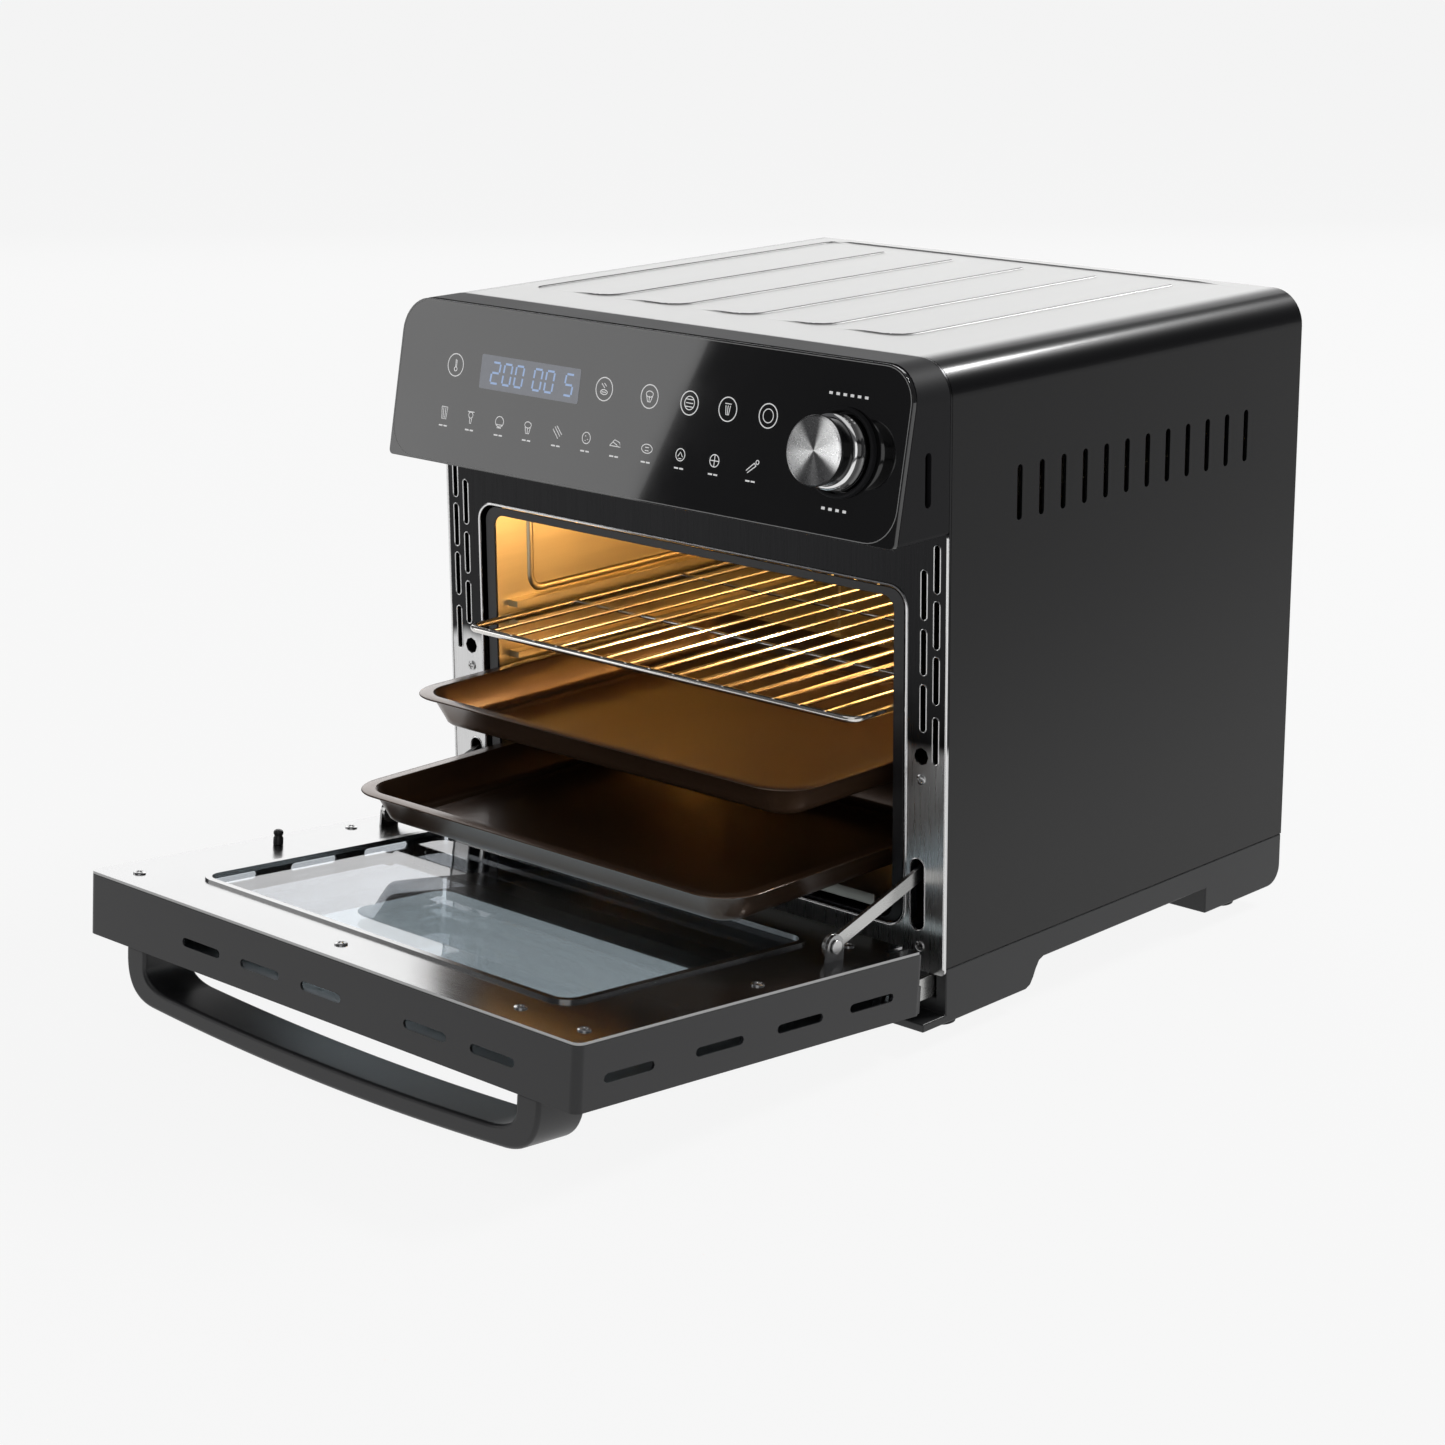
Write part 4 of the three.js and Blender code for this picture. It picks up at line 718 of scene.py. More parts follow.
wall_low, wall_high = box_mm("cavity_left_wall")
wall_face = -wall_low[0] - 1.2
bead = bead_section(5, 1.6)
front_panel = (wall_low[1] + 28, wall_high[1] - 118)
rear_panel = (wall_high[1] - 78, wall_high[1] - 18)
pressed = []
for side, bottom, top, radius in ((-1, 198, 284, 9), (1, 196, 203, 3.4)):
    plane = on_plane(0, side * wall_face)
    pressed += [carried(plane(rounded_outline(*reach, bottom, top, radius)), bead, True,
                        (-side, 0.0, 0.0)) for reach in (front_panel, rear_panel)]
back_plane = on_plane(1, wall_high[1] + 0.3)
pressed += [carried(back_plane(rounded_outline(*reach, 98, 205, 14)), bead, True, (0, -1, 0))
            for reach in ((-140, -8), (8, 140))]
made("cavity_beads", pressed, cavity_steel, "aluminised_steel")


# ---------- Heaters, fan and lamp ----------
# Frosted quartz tubes with ceramic caps, a fan behind a slotted guard in the ceiling, and a
# small halogen lamp behind a domed lens in the right wall.

def quartz_tube():
    """Frosted quartz, faintly orange where the coil inside shows through."""
    finish = Finish("quartz_tube", roughness=0.34, ior=1.46)
    coil = finish.node("ShaderNodeTexWave", {"wave_type": "BANDS", "bands_direction": "X"},
                       {"Vector": finish.place, "Scale": 110, "Distortion": 0.3}, "Fac")
    finish.colour(coil * 0.6, (0.42, 0.38, 0.34), (0.20, 0.11, 0.06))
    finish.relief(coil, 0.0003, 0.4)
    return finish


def lamp_glass(name, tint, glow):
    """Thin glass lit by the filament behind it, in a warm white."""
    finish = Finish(name, roughness=0.12, emission_strength=glow)
    haze = finish.noise(180, 2)
    finish.colour(haze, tint, scaled(tint, 0.9))
    finish.feed("Emission Color", finish.blend(haze, (1.0, 0.66, 0.30), (1.0, 0.72, 0.38)))
    return finish


quartz = quartz_tube()
ceramic = grained_black("ceramic_cap", (0.55, 0.53, 0.48), 0.7, 600, 4e-5)
fan_steel = rolled_metal("fan_steel", (0.42, 0.40, 0.36), 0.3, (1.0, 1.0, 1.0), 300)
for place in ("upper_front", "upper_rear", "lower_front", "lower_rear"):
    low, high = box_mm(f"heater_{place}")
    middle = middle_of(f"heater_{place}")
    half, radius = high[0], (high[2] - low[2]) / 2
    tube = [(0, -half), (2.4, -half), (2.7, 0.6 - half), (2.7, 13 - half),
            (radius - 0.5, 14.2 - half),
            (radius - 0.5, half - 14.2), (2.7, half - 13), (2.7, half - 0.6), (2.4, half),
            (0, half)]
    made(f"heater_{place}_tube", [spun(tube, middle, (1, 0, 0), 20)], quartz, "quartz",
         f"heater_{place}")
    caps = [spun([(radius - 0.45, 0), (radius, 0.4), (radius, 9), (radius - 0.45, 9.6)],
                 (middle[0] + side * (half - 24.6), middle[1], middle[2]), (side, 0, 0), 24, True)
            for side in (-1, 1)]
    made(f"heater_{place}_caps", caps, ceramic, "quartz")

dressed("fan_grille", fan_steel, "brushed_steel", 0.3)
dressed("fan_motor", back_zinc, "zinc_steel", 0.8)
fan_low, fan_high = box_mm("fan_impeller")
fan_middle = middle_of("fan_impeller")
fan_radius, fan_tall = (fan_high[0] - fan_low[0]) / 2, fan_high[2] - fan_low[2]
blade_count = 9


def fan_blade(index):
    """A blade standing on the fan's plate: its line curves back from hub to rim as the
    square of its reach, and it is one sheet thick."""
    reach = np.linspace(0.0, 1.0, 12)
    radius = 8.5 + reach * (fan_radius - 10.5)
    angle = 2 * np.pi * index / blade_count + 0.5 * reach ** 2
    path = np.stack([fan_middle[0] + radius * np.cos(angle), fan_middle[1] + radius * np.sin(angle),
                     np.full(12, fan_low[2])], -1)
    return carried(path, [(-0.5, 0.3), (0.5, 0.3), (0.5, fan_tall - 1.0), (-0.5, fan_tall - 1.0)])


fan_plate = [(3.35, 0.0), (8, 0.0), (8.4, 0.5), (8.4, fan_tall - 1.8),
             (fan_radius - 0.4, fan_tall - 1.2), (fan_radius, fan_tall - 0.9),
             (fan_radius, fan_tall - 0.3), (fan_radius - 0.4, fan_tall), (3.35, fan_tall)]
fan_plate = spun(fan_plate, (*fan_middle[:2], fan_low[2]), (0, 0, 1), 48, True)
made("fan_blades", [fan_plate, *map(fan_blade, range(blade_count))], fan_steel,
     "brushed_steel", "fan_impeller", body="fan_rotor")
dressed("fan_shaft", screw_steel, "polished_steel", 0.3, body="fan_rotor")


def side_of(node, side):
    """The middle of a node's low or high side across X."""
    return np.array([box_mm(node)[side][0], *middle_of(node)[1:]])


lens_tip, lens_foot = side_of("lamp_lens", 0), side_of("lamp_lens", 1)
lens_radius, lens_rise = 19, 8
lens_front = [(lens_radius * share, min(lens_rise, lens_rise * math.cos(share * math.pi / 2) ** 0.8
                                        + 0.15 * math.cos(share * 40)))
              for share in np.linspace(0.0, 1.0, 16)[:-1]]
lens_back = [(12 * (1.0 - share), 5.2 * share) for share in np.linspace(0.0, 1.0, 6)]
lens = [*lens_front, (19, 1.6), (19, 0.2), (18.6, 0.0), (13, 0.0), *lens_back]
made("lamp_lens_dome", [spun(lens, lens_foot, (-1, 0, 0))],
     lamp_glass("lens_glass", (0.9, 0.85, 0.75), 2.6), "clear_glass", "lamp_lens")
bulb = [(0, 0), (3.6, 0), (3.9, 0.5), (3.9, 4.5), (4.6, 6), (6.4, 9), (7, 12), (6.2, 15),
        (4.4, 17), (2.2, 18), (0, 18.2)]
made("lamp_bulb_glass", [spun(bulb, side_of("lamp_bulb", 1), (-1, 0, 0), 28)],
     lamp_glass("bulb_glass", (1.0, 0.9, 0.7), 6), "bulb_glass", "lamp_bulb")
dressed("lamp_socket", back_zinc, "zinc_steel", 0.3)
dressed("temperature_probe", screw_steel, "polished_steel", 0.25)


# ---------- Rack, trays and crumb tray ----------
# A plated wire rack, two pressed trays with a dark bronze non-stick coat, and a shallow
# steel crumb tray that slides out over the cavity floor.

rack_chrome = rolled_metal("rack_chrome", (0.72, 0.70, 0.67), 0.14, (1.0, 1.0, 1.0), 500, 3e-6)
rack_low, rack_high = box_mm("wire_rack")
rack_rod, rack_wire = 2.2, 1.3
rack_count = 15
rod_height = rack_low[2] + rack_rod
wire_height = rack_high[2] - rack_wire
rack_loop = rounded_outline(rack_low[0] + rack_rod, rack_high[0] - rack_rod,
                            rack_low[1] + rack_rod, rack_high[1] - rack_rod, 7)
rods = [carried(on_plane(2, rod_height)(rack_loop), round_section(rack_rod, 16), True)]
inner = rack_high[0] - rack_rod
rods += [carried([(x, rack_low[1] + 0.9, wire_height), (x, rack_low[1] + 2.5, wire_height),
                  (x, rack_high[1] - 2.5, wire_height), (x, rack_high[1] - 0.9, wire_height)],
                 round_section(rack_wire, 10))
         for x in np.linspace(-inner, inner, rack_count + 2)[1:-1]]
rods += [carried([(-inner, y, rod_height), (inner, y, rod_height)], round_section(rack_wire, 12))
         for y in np.array([0.33, 0.67]) * (rack_high[1] - rack_low[1]) + rack_low[1]]
made("rack_wires", rods, rack_chrome, "chrome_wire", "wire_rack", body="rack")


def bronze_coat():
    """Dark bronze non-stick coat: fine metallic flake and slow clouding."""
    finish = Finish("bronze_coat", coat_weight=0.5, coat_roughness=0.18)
    flake = finish.noise(2200, 2, roughness=0.8)
    cloud = finish.noise(12, 3)
    finish.colour(flake * 0.5 + cloud * 0.5, (0.050, 0.026, 0.014),
                                           (0.115, 0.064, 0.036))
    finish.feed("Metallic", 0.55 + flake * 0.2)
    finish.feed("Roughness", 0.30 + cloud * 0.1)
    finish.relief(flake, 1.2e-5)
    return finish


bronze = bronze_coat()


def pressed_tray(node):
    """A pressed tray: rounded rectangles, each set in and lowered by a step of the section,
    from the middle of the floor up the wall, over the rim and back down outside."""
    low, high = box_mm(node)
    middle = middle_of(node)
    half_x, half_y = (high[0] - low[0]) / 2, (high[1] - low[1]) / 2
    top, floor = high[2], low[2]
    sheet = 1.2
    bend = np.radians(np.linspace(0.0, 90, 6))
    inside = [(34, floor + sheet), (30, floor + sheet), (28.4, floor + sheet + 0.7),
              (26, floor + sheet + 0.7), (24.4, floor + sheet)]
    inside += [(19.6 - 3.6 * math.sin(t), floor + sheet + 3.6 * (1 - math.cos(t))) for t in bend]
    inside += [(9.3 - 1.6 * math.sin(t), top - 1.6 + 1.6 * math.sin(t)) for t in bend[1:]]
    rim = [(7, top), (1.0, top), (0.3, top - 0.25), (0.0, top - 0.6), (0.3, top - 0.95),
           (1.0, top - sheet),
           (5.6, top - sheet)]
    outside = [(7.4, top - 2.4), (13.6, floor + 5), (14.8, floor + 2.2), (16.6, floor + 0.7),
               (19, floor), (34, floor)]
    stations = inside + rim + outside
    rings = []
    for inset, height in stations:
        outline = rounded_outline(-half_x + inset, half_x - inset, -half_y + inset, half_y - inset,
                                  max(25.5 - 0.75 * inset, 5), 10)
        rings.append(np.column_stack([outline + middle[:2], np.full(len(outline), height)]))
    count = len(rings[0])
    faces = grid_faces(len(rings), count, False, True).tolist()
    faces.append(list(range(count)))
    faces.append(list(range((len(rings) - 1) * count, len(rings) * count)))
    return np.concatenate(rings), faces


made("baking_tray_pressed", [pressed_tray("baking_tray")], bronze, "bronze_enamel", "baking_tray",
     body="tray")
made("roasting_pan_pressed", [pressed_tray("roasting_pan")], bronze, "bronze_enamel",
     "roasting_pan", body="pan")
crumb_steel = rolled_metal("crumb_steel", (0.50, 0.48, 0.44), 0.28, (0.04, 1.0, 1.0), 260)
dressed("crumb_tray", crumb_steel, "brushed_steel", 0.35, body="crumbs")


# ---------- Control panel ----------
# A moulded housing under a sloping sheet of black glass. Behind the glass stand the display,
# the control board and the knob's encoder.

fascia_black = grained_black("fascia_black", (0.009, 0.009, 0.010), 0.55, 800, 2e-5, 0.14)
board_green = grained_black("board_green", (0.012, 0.075, 0.03), 0.4, 900, 3e-5)
dressed("control_fascia", fascia_black, "black_plastic", 0.7, 3)
dressed("control_board", board_green, "circuit_board", 0.2)
dressed("display_module", fascia_black, "display", 0.3)
dressed("encoder_body", back_zinc, "zinc_steel", 0.4)
dressed("encoder_shaft", screw_steel, "polished_steel", 0.25, body="knob_stem")


def panel_black():
    """Back-printed black glass: almost a mirror, with the faintest haze of fingerprints."""
    finish = Finish("panel_black", ior=1.52, coat_roughness=0.02)
    haze = finish.noise(16, 4)
    finish.colour(haze, (0.0032, 0.0032, 0.0034), (0.0044, 0.0044, 0.0046))
    finish.feed("Roughness", finish.span(haze, 0.35, 0.8, 0.035, 0.07))
    finish.feed("Coat Weight", 0.35 + haze * 0.1)
    return finish


def glowing(name, shade, glow, strength):
    """Ink, lit segments or a painted highlight line: a flat colour with a slight unevenness, giving
    off a little light.
    """
    finish = Finish(name, roughness=0.5, emission_strength=strength)
    uneven = finish.noise(400, 2)
    finish.colour(uneven, scaled(shade, 0.9), shade)
    finish.feed("Emission Color", finish.blend(uneven, scaled(glow, 0.85), glow))
    return finish


dressed("control_glass", panel_black(), "gloss_black", 0.4, 3)
panel_lean, panel_rise = 19, 94
panel_slope = math.atan2(panel_lean, panel_rise)
glass_length = panel_rise / math.cos(panel_slope)
panel_up = np.array([0.0, math.sin(panel_slope), math.cos(panel_slope)])
panel_out = np.array([0.0, -math.cos(panel_slope), math.sin(panel_slope)])
panel_foot = np.array([0.0, box_mm("control_glass")[0][1], box_mm("control_fascia")[0][2]])


def laid_on(origin, second, third):
    """Turns distances along X and two other directions, from an origin, into places."""

    def place(points):
        points = np.asarray(points, float)
        points = np.column_stack([points, np.zeros((len(points), 3 - points.shape[1]))])
        return (origin + points[:, :1] * np.array([1.0, 0.0, 0.0]) + points[:, 1:2] * second
                + points[:, 2:] * third)

    return place


on_glass = laid_on(panel_foot, panel_up, panel_out)


def mark(points, width=0.55, closed=False, out=(0.02, 0.10)):
    """A printed line of one width."""
    half = width / 2
    section = [(-half, out[0]), (half, out[0]), (half, out[1]), (-half, out[1])]
    return carried(on_glass(points), section, closed, panel_out)


def arc(x, up, across_radius, up_radius, start=0.0, end=360, steps=28):
    """Points along part of an ellipse, angles in degrees."""
    turn = np.radians(np.linspace(start, end, steps, endpoint=abs(end - start) < 360))
    return np.stack([x + across_radius * np.cos(turn), up + up_radius * np.sin(turn)], -1)


def lines_at(x, up, size, *lines):
    """Printed lines drawn in a square from -1 to 1, set down at a place and size."""
    return [mark(np.array([x, up]) + size * np.asarray(line, float), 0.5) for line in lines]


def round_at(x, up, size, *rounds):
    """Printed ellipses (x, up, radii across and up), set down at a place and size."""
    return [mark(arc(x + size * a, up + size * b, size * c, size * d), 0.5, True)
            for a, b, c, d in rounds]


row_places = [-155, -132, -107, -83, -58.5, -34.5, -11, 14, 40, 66, 94]
row_up, row_size = 30, 3.6
row_lines = [
    [[(-0.7, 1), (-0.5, -1), (0.5, -1), (0.7, 1), (-0.7, 1)], [(-0.25, 0.9), (-0.2, -0.9)],
     [(0.25, 0.9), (0.2, -0.9)]],
    [[(-0.2, -0.2), (-0.1, -1), (0.2, -1), (0.3, -0.2)], [(-0.8, 0.9), (0.8, 0.9)]],
    [[(-0.7, -0.4), (0.7, -0.4)], [(-0.5, -0.9), (0.5, -0.9)]],
    [[(-0.6, 0.0), (-0.35, -1), (0.35, -1), (0.6, 0.0)], [(0, 0), (0, -1)]],
    [[(-1, 0.5), (0.3, -0.9)], [(-0.6, 0.9), (0.7, -0.5)], [(-0.2, 1.1), (1.1, -0.2)]],
    [[(-0.3, 0.3), (-0.1, 0.3)], [(0.2, -0.2), (0.4, -0.2)], [(-0.3, -0.4), (-0.1, -0.4)]],
    [[(-1.2, -0.5), (-0.2, 0.5), (0.9, 0.2), (1.2, -0.5), (-1.2, -0.5)],
     [(-0.5, 0.1), (0.5, -0.3)]],
    [[(-0.4, 0.2), (0.4, 0.2)], [(-0.4, -0.3), (0.4, -0.3)]],
    [[(-0.5, -0.3), (0.0, 0.4), (0.5, -0.3)], [(-0.3, -0.6), (0.3, -0.6)]],
    [[(-0.9, 0), (0.9, 0)], [(0, -0.9), (0, 0.9)]],
    [[(-1.1, -0.6), (0.4, 0.7)], [(-0.8, -0.9), (0.8, 0.3)], [(0.4, 0.7), (0.8, 0.3)]],
]
row_rounds = [[], [(0, 0.35, 0.5, 0.5)], [(0, 0.1, 0.95, 0.85)], [(0, 0.4, 0.75, 0.5)], [],
              [(0, 0, 0.9, 0.9)], [], [(0, 0, 1.15, 0.7)], [(0, 0, 0.95, 0.95)],
              [(0, 0, 0.95, 0.95)], [(1.0, 0.9, 0.3, 0.3)]]
prints = []
for place, lines, rounds in zip(row_places, row_lines, row_rounds):
    prints += lines_at(place, row_up, row_size, *lines)
    prints += round_at(place, row_up, row_size, *rounds)
    prints += [mark([(place + start, row_up - 7.6), (place + end, row_up - 7.6)], 0.9)
               for start, end in ((-3.6, -0.4), (0.5, 3.4))]

ring_places = [-150, -25, 11, 42, 71, 101]
ring_up, ring_size = 59, 3.4
ring_lines = [
    [[(0, 1), (0, -0.4)], [(0.25, 0.9), (0.25, -0.3)]],
    [[(-0.7, 0.9), (0.1, 0.2)], [(-0.1, 1.0), (0.5, 0.5)], [(-0.6, -0.5), (0.5, -0.5)]],
    [[(-0.7, 0.1), (-0.3, -0.9), (0.3, -0.9), (0.7, 0.1)], [(0, 0.1), (0, -0.9)]],
    [[(-0.8, 0.6), (0.8, 0.6)], [(-0.8, 0), (0.8, 0)], [(-0.8, -0.6), (0.8, -0.6)]],
    [[(-0.7, 0.9), (0.7, 0.9)], [(-0.5, 0.6), (-0.3, -0.9), (0.3, -0.9), (0.5, 0.6)],
     [(0, 0.6), (0, -0.9)]],
    [],
]
ring_rounds = [[(0.1, -0.7, 0.35, 0.35)], [(0.0, -0.5, 0.8, 0.4)], [(0, 0.4, 0.8, 0.5)],
               [(0, 0, 1.1, 1.1)], [], [(0, 0, 1.1, 1.1)]]
for place, lines, rounds in zip(ring_places, ring_lines, ring_rounds):
    prints.append(mark(arc(place, ring_up, 6.6, 6.6, steps=48), 0.6, True))
    prints += lines_at(place, ring_up, ring_size, *lines)
    prints += round_at(place, ring_up, ring_size, *rounds)
knob_x, knob_up = 156, 46
for start, up, count in ((-14, 30.6, 6), (-9, -30.6, 4)):
    prints += [mark([(x, knob_up + up), (x + 2.4, knob_up + up)], 1.5)
               for x in knob_x + start + 5.0 * np.arange(count)]
prints.append(mark([(knob_x - 31, knob_up + 1.4), (knob_x - 28.6, knob_up),
                    (knob_x - 31, knob_up - 1.4)], 0.6))
made("panel_print", prints, glowing("panel_ink", (0.70, 0.70, 0.70), (0.6, 0.6, 0.6), 0.42),
     "display")

# A grey line giving off a little light round the edge of the glass: a painted highlight where the
# edge catches the light.
painted_highlight_line = rounded_outline(-198.9, 198.9, 1.1, glass_length - 1.1, 19.9, 10)
made("glass_edge_painted_highlight", [mark(painted_highlight_line, 0.5, True)],
     glowing("edge_painted_highlight", (0.16, 0.16, 0.16), (0.3, 0.3, 0.3), 0.12), "display")

display_x, display_up, display_across, display_tall = -86.5, 58, 83, 20
window = rounded_outline(display_x - display_across / 2, display_x + display_across / 2,
                         display_up - display_tall / 2, display_up + display_tall / 2, 1.2, 4)
made("display_window", [prism(window, 0.02, 0.10, on_glass)],
     glowing("display_grey", (0.10, 0.105, 0.12), (0.36, 0.37, 0.40), 0.40), "display")
segments = {
    "a": [(0.08, 1), (0.92, 1)], "b": [(1, 0.94), (1, 0.56)], "c": [(1, 0.44), (1, 0.06)],
    "d": [(0.08, 0), (0.92, 0)], "e": [(0, 0.06), (0, 0.44)], "f": [(0, 0.56), (0, 0.94)],
    "g": [(0.08, 0.5), (0.92, 0.5)],
}
lit = {"0": "abcdef", "2": "abged", "5": "afgcd"}
digit_wide, digit_tall, digit_lean = 6.4, 12.2, 0.10
figures = [("2", -119), ("0", -109), ("0", -99), ("0", -83.5), ("0", -73.5), ("5", -57.5)]
digits = []
for figure, start in figures:
    for letter in lit[figure]:
        ends = [(start + digit_wide * u + digit_lean * digit_tall * v,
                 display_up - digit_tall / 2 + digit_tall * v) for u, v in segments[letter]]
        digits.append(mark(ends, 1.25, out=(0.10, 0.18)))
made("display_digits", digits, glowing("digit_blue", (0.25, 0.33, 0.5), (0.40, 0.54, 0.80), 0.46),
     "display")


# ---------- Knob ----------
# A gloss black knob in a bright ring, its face a disc of spun metal with wedges of light and dark
# painted into its colour as painted reflection, as concentric turning marks catch the light.

rings_per_metre = 31000    # in radians, so a ring each fifth of a millimetre


def spun_metal_painted_wedges(centre):
    """Turned disc: painted reflection in wedges, its shade going round as 0.75 sin(2a + 0.9) +
    0.35 sin(5a + 2), sharpened, over relief rings a fifth of a millimetre apart."""
    finish = Finish("spun_metal_painted_wedges", metallic=1.0)
    place = finish.node("ShaderNodeMapping", {"vector_type": "POINT"}, {
        "Vector": finish.place, "Location": tuple(-c * mm for c in centre)}, "Vector")
    turned = finish.node("ShaderNodeVectorRotate", {"rotation_type": "X_AXIS"},
                         {"Vector": place, "Angle": panel_slope}, "Vector")
    x = finish.node("ShaderNodeSeparateXYZ", None, {"Vector": turned}, "X")
    up = finish.node("ShaderNodeSeparateXYZ", None, {"Vector": turned}, "Z")
    angle = up.math("ARCTAN2", x)
    radius = (x * x + up * up).math("SQRT")
    # Light and dark wedges by angle round the knob's axis, painted into the colour: painted
    # reflection.
    painted_wedge_wave = (angle * 2 + 0.9).math("SINE")
    second = (angle * 5 + 2).math("SINE")
    share = finish.span(painted_wedge_wave * 0.75 + second * 0.35, -0.7, 0.8)
    rings = (radius * rings_per_metre).math("SINE")
    finish.colour(share, (0.07, 0.07, 0.072), (0.93, 0.93, 0.93))
    finish.feed("Roughness", 0.24 + finish.noise(900) * 0.08)
    finish.relief(rings, 4e-6)
    return finish


knob_chrome = rolled_metal("knob_chrome", (0.80, 0.80, 0.80), 0.08, (1.0, 1.0, 1.0), 600, 2e-6)
knob_gloss = grained_black("knob_gloss", (0.006, 0.006, 0.0065), 0.12, 900, 3e-6)
knob_centre = on_glass([(knob_x, knob_up, 0.0)])[0]
bezel = [(22, 0.3), (24.5, 0.3), (24.5, 2.3), (24.1, 3.2), (23.4, 3.5), (22.6, 3.2), (22, 2.8)]
grip = [(3.3, 2.2), (3.3, 12.5), (0.0, 12.5), (0.0, 21.5), (18.2, 21.5), (18.9, 21.2), (19, 20.6),
        (18.7, 19.4), (18.2, 14), (18.3, 9.6), (18.6, 9), (19.6, 8.8), (19.9, 8.2), (20, 7),
        (20, 3), (19.7, 2.4), (19.2, 2.2), (3.3, 2.2)]
skirt = [(20.05, 3.4), (20.6, 3.5), (20.9, 4), (20.9, 6.4), (20.6, 6.9), (20.6, 9.6), (20.3, 11.2),
         (19.4, 12), (18.5, 12.2), (18.5, 11), (20.05, 9.4)]
face = [(0.0, 21.8), (18, 21.8), (18.8, 22), (19, 22.4), (18.7, 23), (18, 23.4),
        (17.2, 23.3), (10, 23), (0.0, 22.8)]
made("knob_bezel_ring", [spun(bezel, knob_centre, panel_out, 64, True)], fascia_black,
     "polished_steel", "knob_bezel")
made("knob_grip", [spun(grip, knob_centre, panel_out, 72)], knob_gloss, "gloss_black", "knob_body",
     body="knob")
made("knob_skirt", [spun(skirt, knob_centre, panel_out, 72, True)], knob_chrome, "polished_steel",
     body="knob")
made("knob_face", [spun(face, knob_centre, panel_out, 72)], spun_metal_painted_wedges(knob_centre),
     "brushed_steel", "knob_cap", body="knob")


# ---------- Door ----------
# A black casing round a double-glazed window, faced inside with polished steel. The steel
# is drawn up in a round bead about the glass and held by screws.

door_black = grained_black("door_black", (0.0135, 0.0135, 0.0145), 0.36, 900, 2e-5)
door_steel = rolled_metal("door_steel", (0.34, 0.34, 0.34), 0.17, (0.05, 1.0, 1.0), 420, 6e-6)


def window_glass(name, tint):
    """Toughened glass: what is behind it shows through, tinted, and its own reflection is
    laid over that by the fifth power of how far it is turned away, with a film of haze."""
    finish = Finish(name, metallic=1.0)
    film = finish.noise(7, 4)
    finish.colour(film, (0.90, 0.91, 0.93), (0.97, 0.97, 0.98))
    finish.feed("Roughness", 0.015 + film * 0.03)
    through = finish.tree.nodes.new("ShaderNodeBsdfTransparent")
    through.inputs["Color"].default_value = (*tint, 1.0)
    edge = finish.node("ShaderNodeLayerWeight", None, {"Blend": 0.5}, "Facing")
    mix = finish.tree.nodes.new("ShaderNodeMixShader")
    finish.connect(mix.inputs[0], edge.math("POWER", 5) * 0.9 + 0.04 + film * 0.04)
    finish.tree.links.new(through.outputs[0], mix.inputs[1])
    finish.tree.links.new(finish.shader.outputs[0], mix.inputs[2])
    finish.tree.links.new(mix.outputs[0], finish.tree.nodes["Material Output"].inputs["Surface"])
    return finish


dressed("door_casing", door_black, "black_paint", 0.8, 3, body="door")
dressed("door_inner_panel", door_steel, "polished_steel", 0.6, 3, body="door")
dressed("door_inner_glass", window_glass("inner_pane", (0.87, 0.90, 0.93)), "clear_glass", 0.4,
        body="door")
dressed("door_outer_glass", window_glass("outer_pane", (0.80, 0.85, 0.86)), "clear_glass", 0.4,
        body="door")

hinge_line = middle_of("hinge_pin_left") * np.array([0.0, 1.0, 1.0])
door_turn = math.radians(85)
door_in = np.array([0.0, math.cos(door_turn), math.sin(door_turn)])
door_up = np.array([0.0, -math.sin(door_turn), math.cos(door_turn)])
door_face, door_inside = -8.5, 28.5
on_door = laid_on(hinge_line, door_in, door_up)


def bend(start, control, end, steps=20):
    """Points along a quadratic curve, its start left out."""
    t = np.linspace(0.0, 1.0, steps + 1)[1:, None]
    start, control, end = (np.asarray(p, float) for p in (start, control, end))
    return (1 - t) ** 2 * start + 2 * t * (1 - t) * control + t ** 2 * end


def handle_outline():
    """The bow of the handle: its outer edge from leg to leg and its inner edge back. Each
    edge goes down a leg, round a corner and along a slight arch."""
    half, bow, bar, leg, corner = 170, 6, 11, 17, 26
    face = door_face - 0.3
    outer = face - 38
    small = corner - bar / 2

    def edge(side, corner, rise, level, shoulder, middle):
        inward = side - math.copysign(corner, side)
        return [[(side, face), (side, level + rise)],
                bend((side, level + rise), (side, level), (inward, shoulder)),
                bend((inward, shoulder), (0, middle), (-inward, shoulder), 40),
                bend((-inward, shoulder), (-side, level), (-side, level + rise)),
                [(-side, face)]]

    parts = edge(-half, corner, corner, outer + bow, outer + 0.8 * bow, outer - 0.8 * bow)
    parts += edge(half - leg, small, small / 2, outer + bow + bar, outer + 0.7 * bow + bar,
                  outer - 0.5 * bow + bar)
    return np.concatenate([np.asarray(part, float) for part in parts])


handle_low, handle_top = 216, 250
handle = new_piece("handle_bow", *prism(handle_outline(), handle_low, handle_top, on_door),
                   door_black)
settled(eased(turn_outwards(handle), 2.4, 4, 50), "black_plastic", "door_handle", body="door")

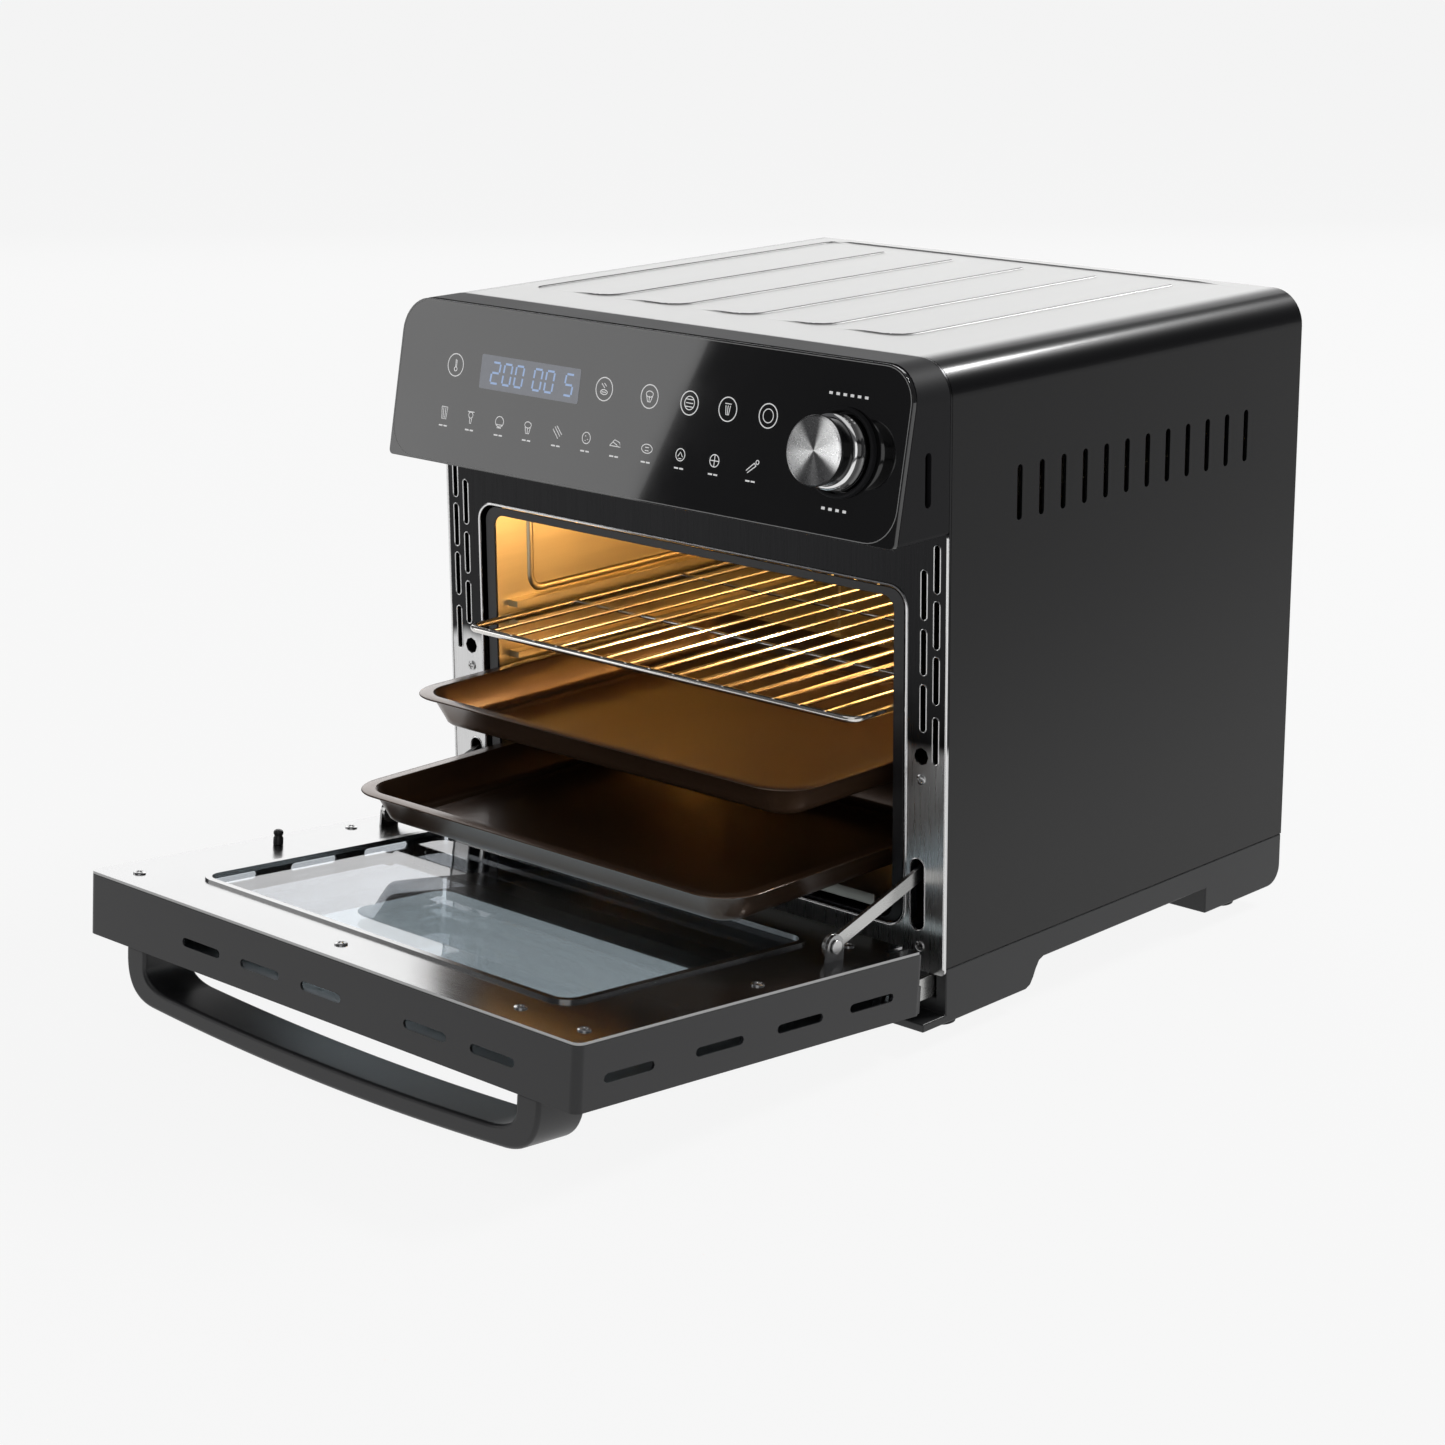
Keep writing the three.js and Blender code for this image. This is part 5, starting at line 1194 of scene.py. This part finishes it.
peg = [(0, -3.5), (2, -3.5), (2, 0.3), (3, 0.3), (3, 4), (2.5, 4.8), (2.4, 5.6),
       (2.9, 6.4),
       (3, 7.4), (2.6, 8.4), (1.6, 9), (0, 9)]
made("door_peg_turned", [spun(peg, on_door([(-182, door_inside, 131)])[0], door_in, 28)],
     door_black, "black_plastic", "door_peg", body="door")
panel_screws = [(-177, 236), (0.0, 236), (140, 236), (186, 236), (-187, 70),
                (187, 110), (168, 16), (-168, 16)]
made("panel_screws", [screw_head(on_door([(x, door_inside, up)])[0], door_in, 3.6, 1.3)
                      for x, up in panel_screws],
     screw_steel, "polished_steel", body="door")


# ---------- Hinges and stay arms ----------
# Pins in zinc plated brackets carry the door. A flat arm on each side runs from a riveted
# lug on the door into a slot in the jamb.

arm_zinc = rolled_metal("arm_zinc", (0.52, 0.52, 0.51), 0.24, (1.0, 0.05, 1.0), 380, 1e-5)
for side in ("left", "right"):
    dressed(f"hinge_bracket_{side}", arm_zinc, "zinc_steel", 0.35)
    dressed(f"hinge_pin_{side}", screw_steel, "polished_steel", 0.3)
    dressed(f"arm_rivet_{side}", screw_steel, "polished_steel", 0.25, 3, body="door")
    dressed(f"stay_arm_{side}", arm_zinc, "zinc_steel", 0.35, body=f"{side}_stay_arm")
dressed("door_switch", base_black, "black_plastic", 0.4)
dressed("power_board", board_green, "circuit_board", 0.4)


# ---------- Studio ----------
# A pale floor, a broad soft light overhead and a weaker one in front, a wide panel behind
# that the top reflects, a narrow one that draws the line along the shoulder, a card at the
# left, and the glow of the oven's own lamp.

floor_finish = Finish("studio_floor", roughness=1.0, specular_ior_level=0.0, emission_strength=0.90)
floor_finish.feed("Base Color", (0.035, 0.035, 0.035))
floor_finish.feed("Emission Color", (1.0, 1.0, 1.0))
floor_half = 40
floor_corners = np.array([(-1, -1), (1, -1), (1, 1), (-1, 1)]) * floor_half
floor_shape = prism(floor_corners, -0.02, -0.0002, lambda p: p)
turn_outwards(new_piece("studio_floor", *floor_shape, floor_finish, 1.0))


def soft_panel(name, centre, facing, width, height, radiance, lean=0.0):
    """A rectangular light of an even radiance, turned to face a point and leant sideways."""
    light = bpy.data.lights.new(name, "AREA")
    light.shape = "RECTANGLE"
    light.size = width
    light.size_y = height
    light.energy = radiance * math.pi * width * height
    lamp = placed(name, light)
    centre = Vector(centre)
    lamp.matrix_world = (Matrix.Translation(centre)
                         @ (centre - Vector(facing)).to_track_quat("Z", "Y").to_matrix().to_4x4()
                         @ Matrix.Rotation(math.radians(-lean), 4, "Z"))
    lamp.visible_camera = False
    return lamp


soft_panel("overhead", (0.2, -0.6, 2.6), (0.0, -0.1, 0.1), 3.4, 3, 0.62)
soft_panel("behind_left", (-2, 2.2, 1.35), (0.0, 0.1, 0.35), 3.4, 2.1, 1.9)
soft_panel("shoulder_line", (0.93, 2.2, 2.35), (0.1, 0.1, 0.35), 1.0, 0.34, 80)
soft_panel("front_fill", (2.3, -2.7, 1.5), (0.0, 0.0, 0.3), 2.8, 1.7, 0.9)
soft_panel("left_card", (-1.461, -1.12, 0.517), (-0.80, -0.369, 0.517), 0.70, 0.50, 1.9, 9)
oven_lamp = placed("oven_lamp", bpy.data.lights.new("oven_lamp", "POINT"))
oven_lamp.data.energy = 1.5
oven_lamp.data.color = (1.0, 0.62, 0.26)
oven_lamp.data.shadow_soft_size = 0.012
oven_lamp.location = (lens_tip - np.array([12, 0.0, 0.0])) * mm

world = bpy.data.worlds.new("studio")
world.use_nodes = True
bpy.context.scene.world = world
world.node_tree.nodes["Background"].inputs["Color"].default_value = (0.10, 0.10, 0.105, 1.0)
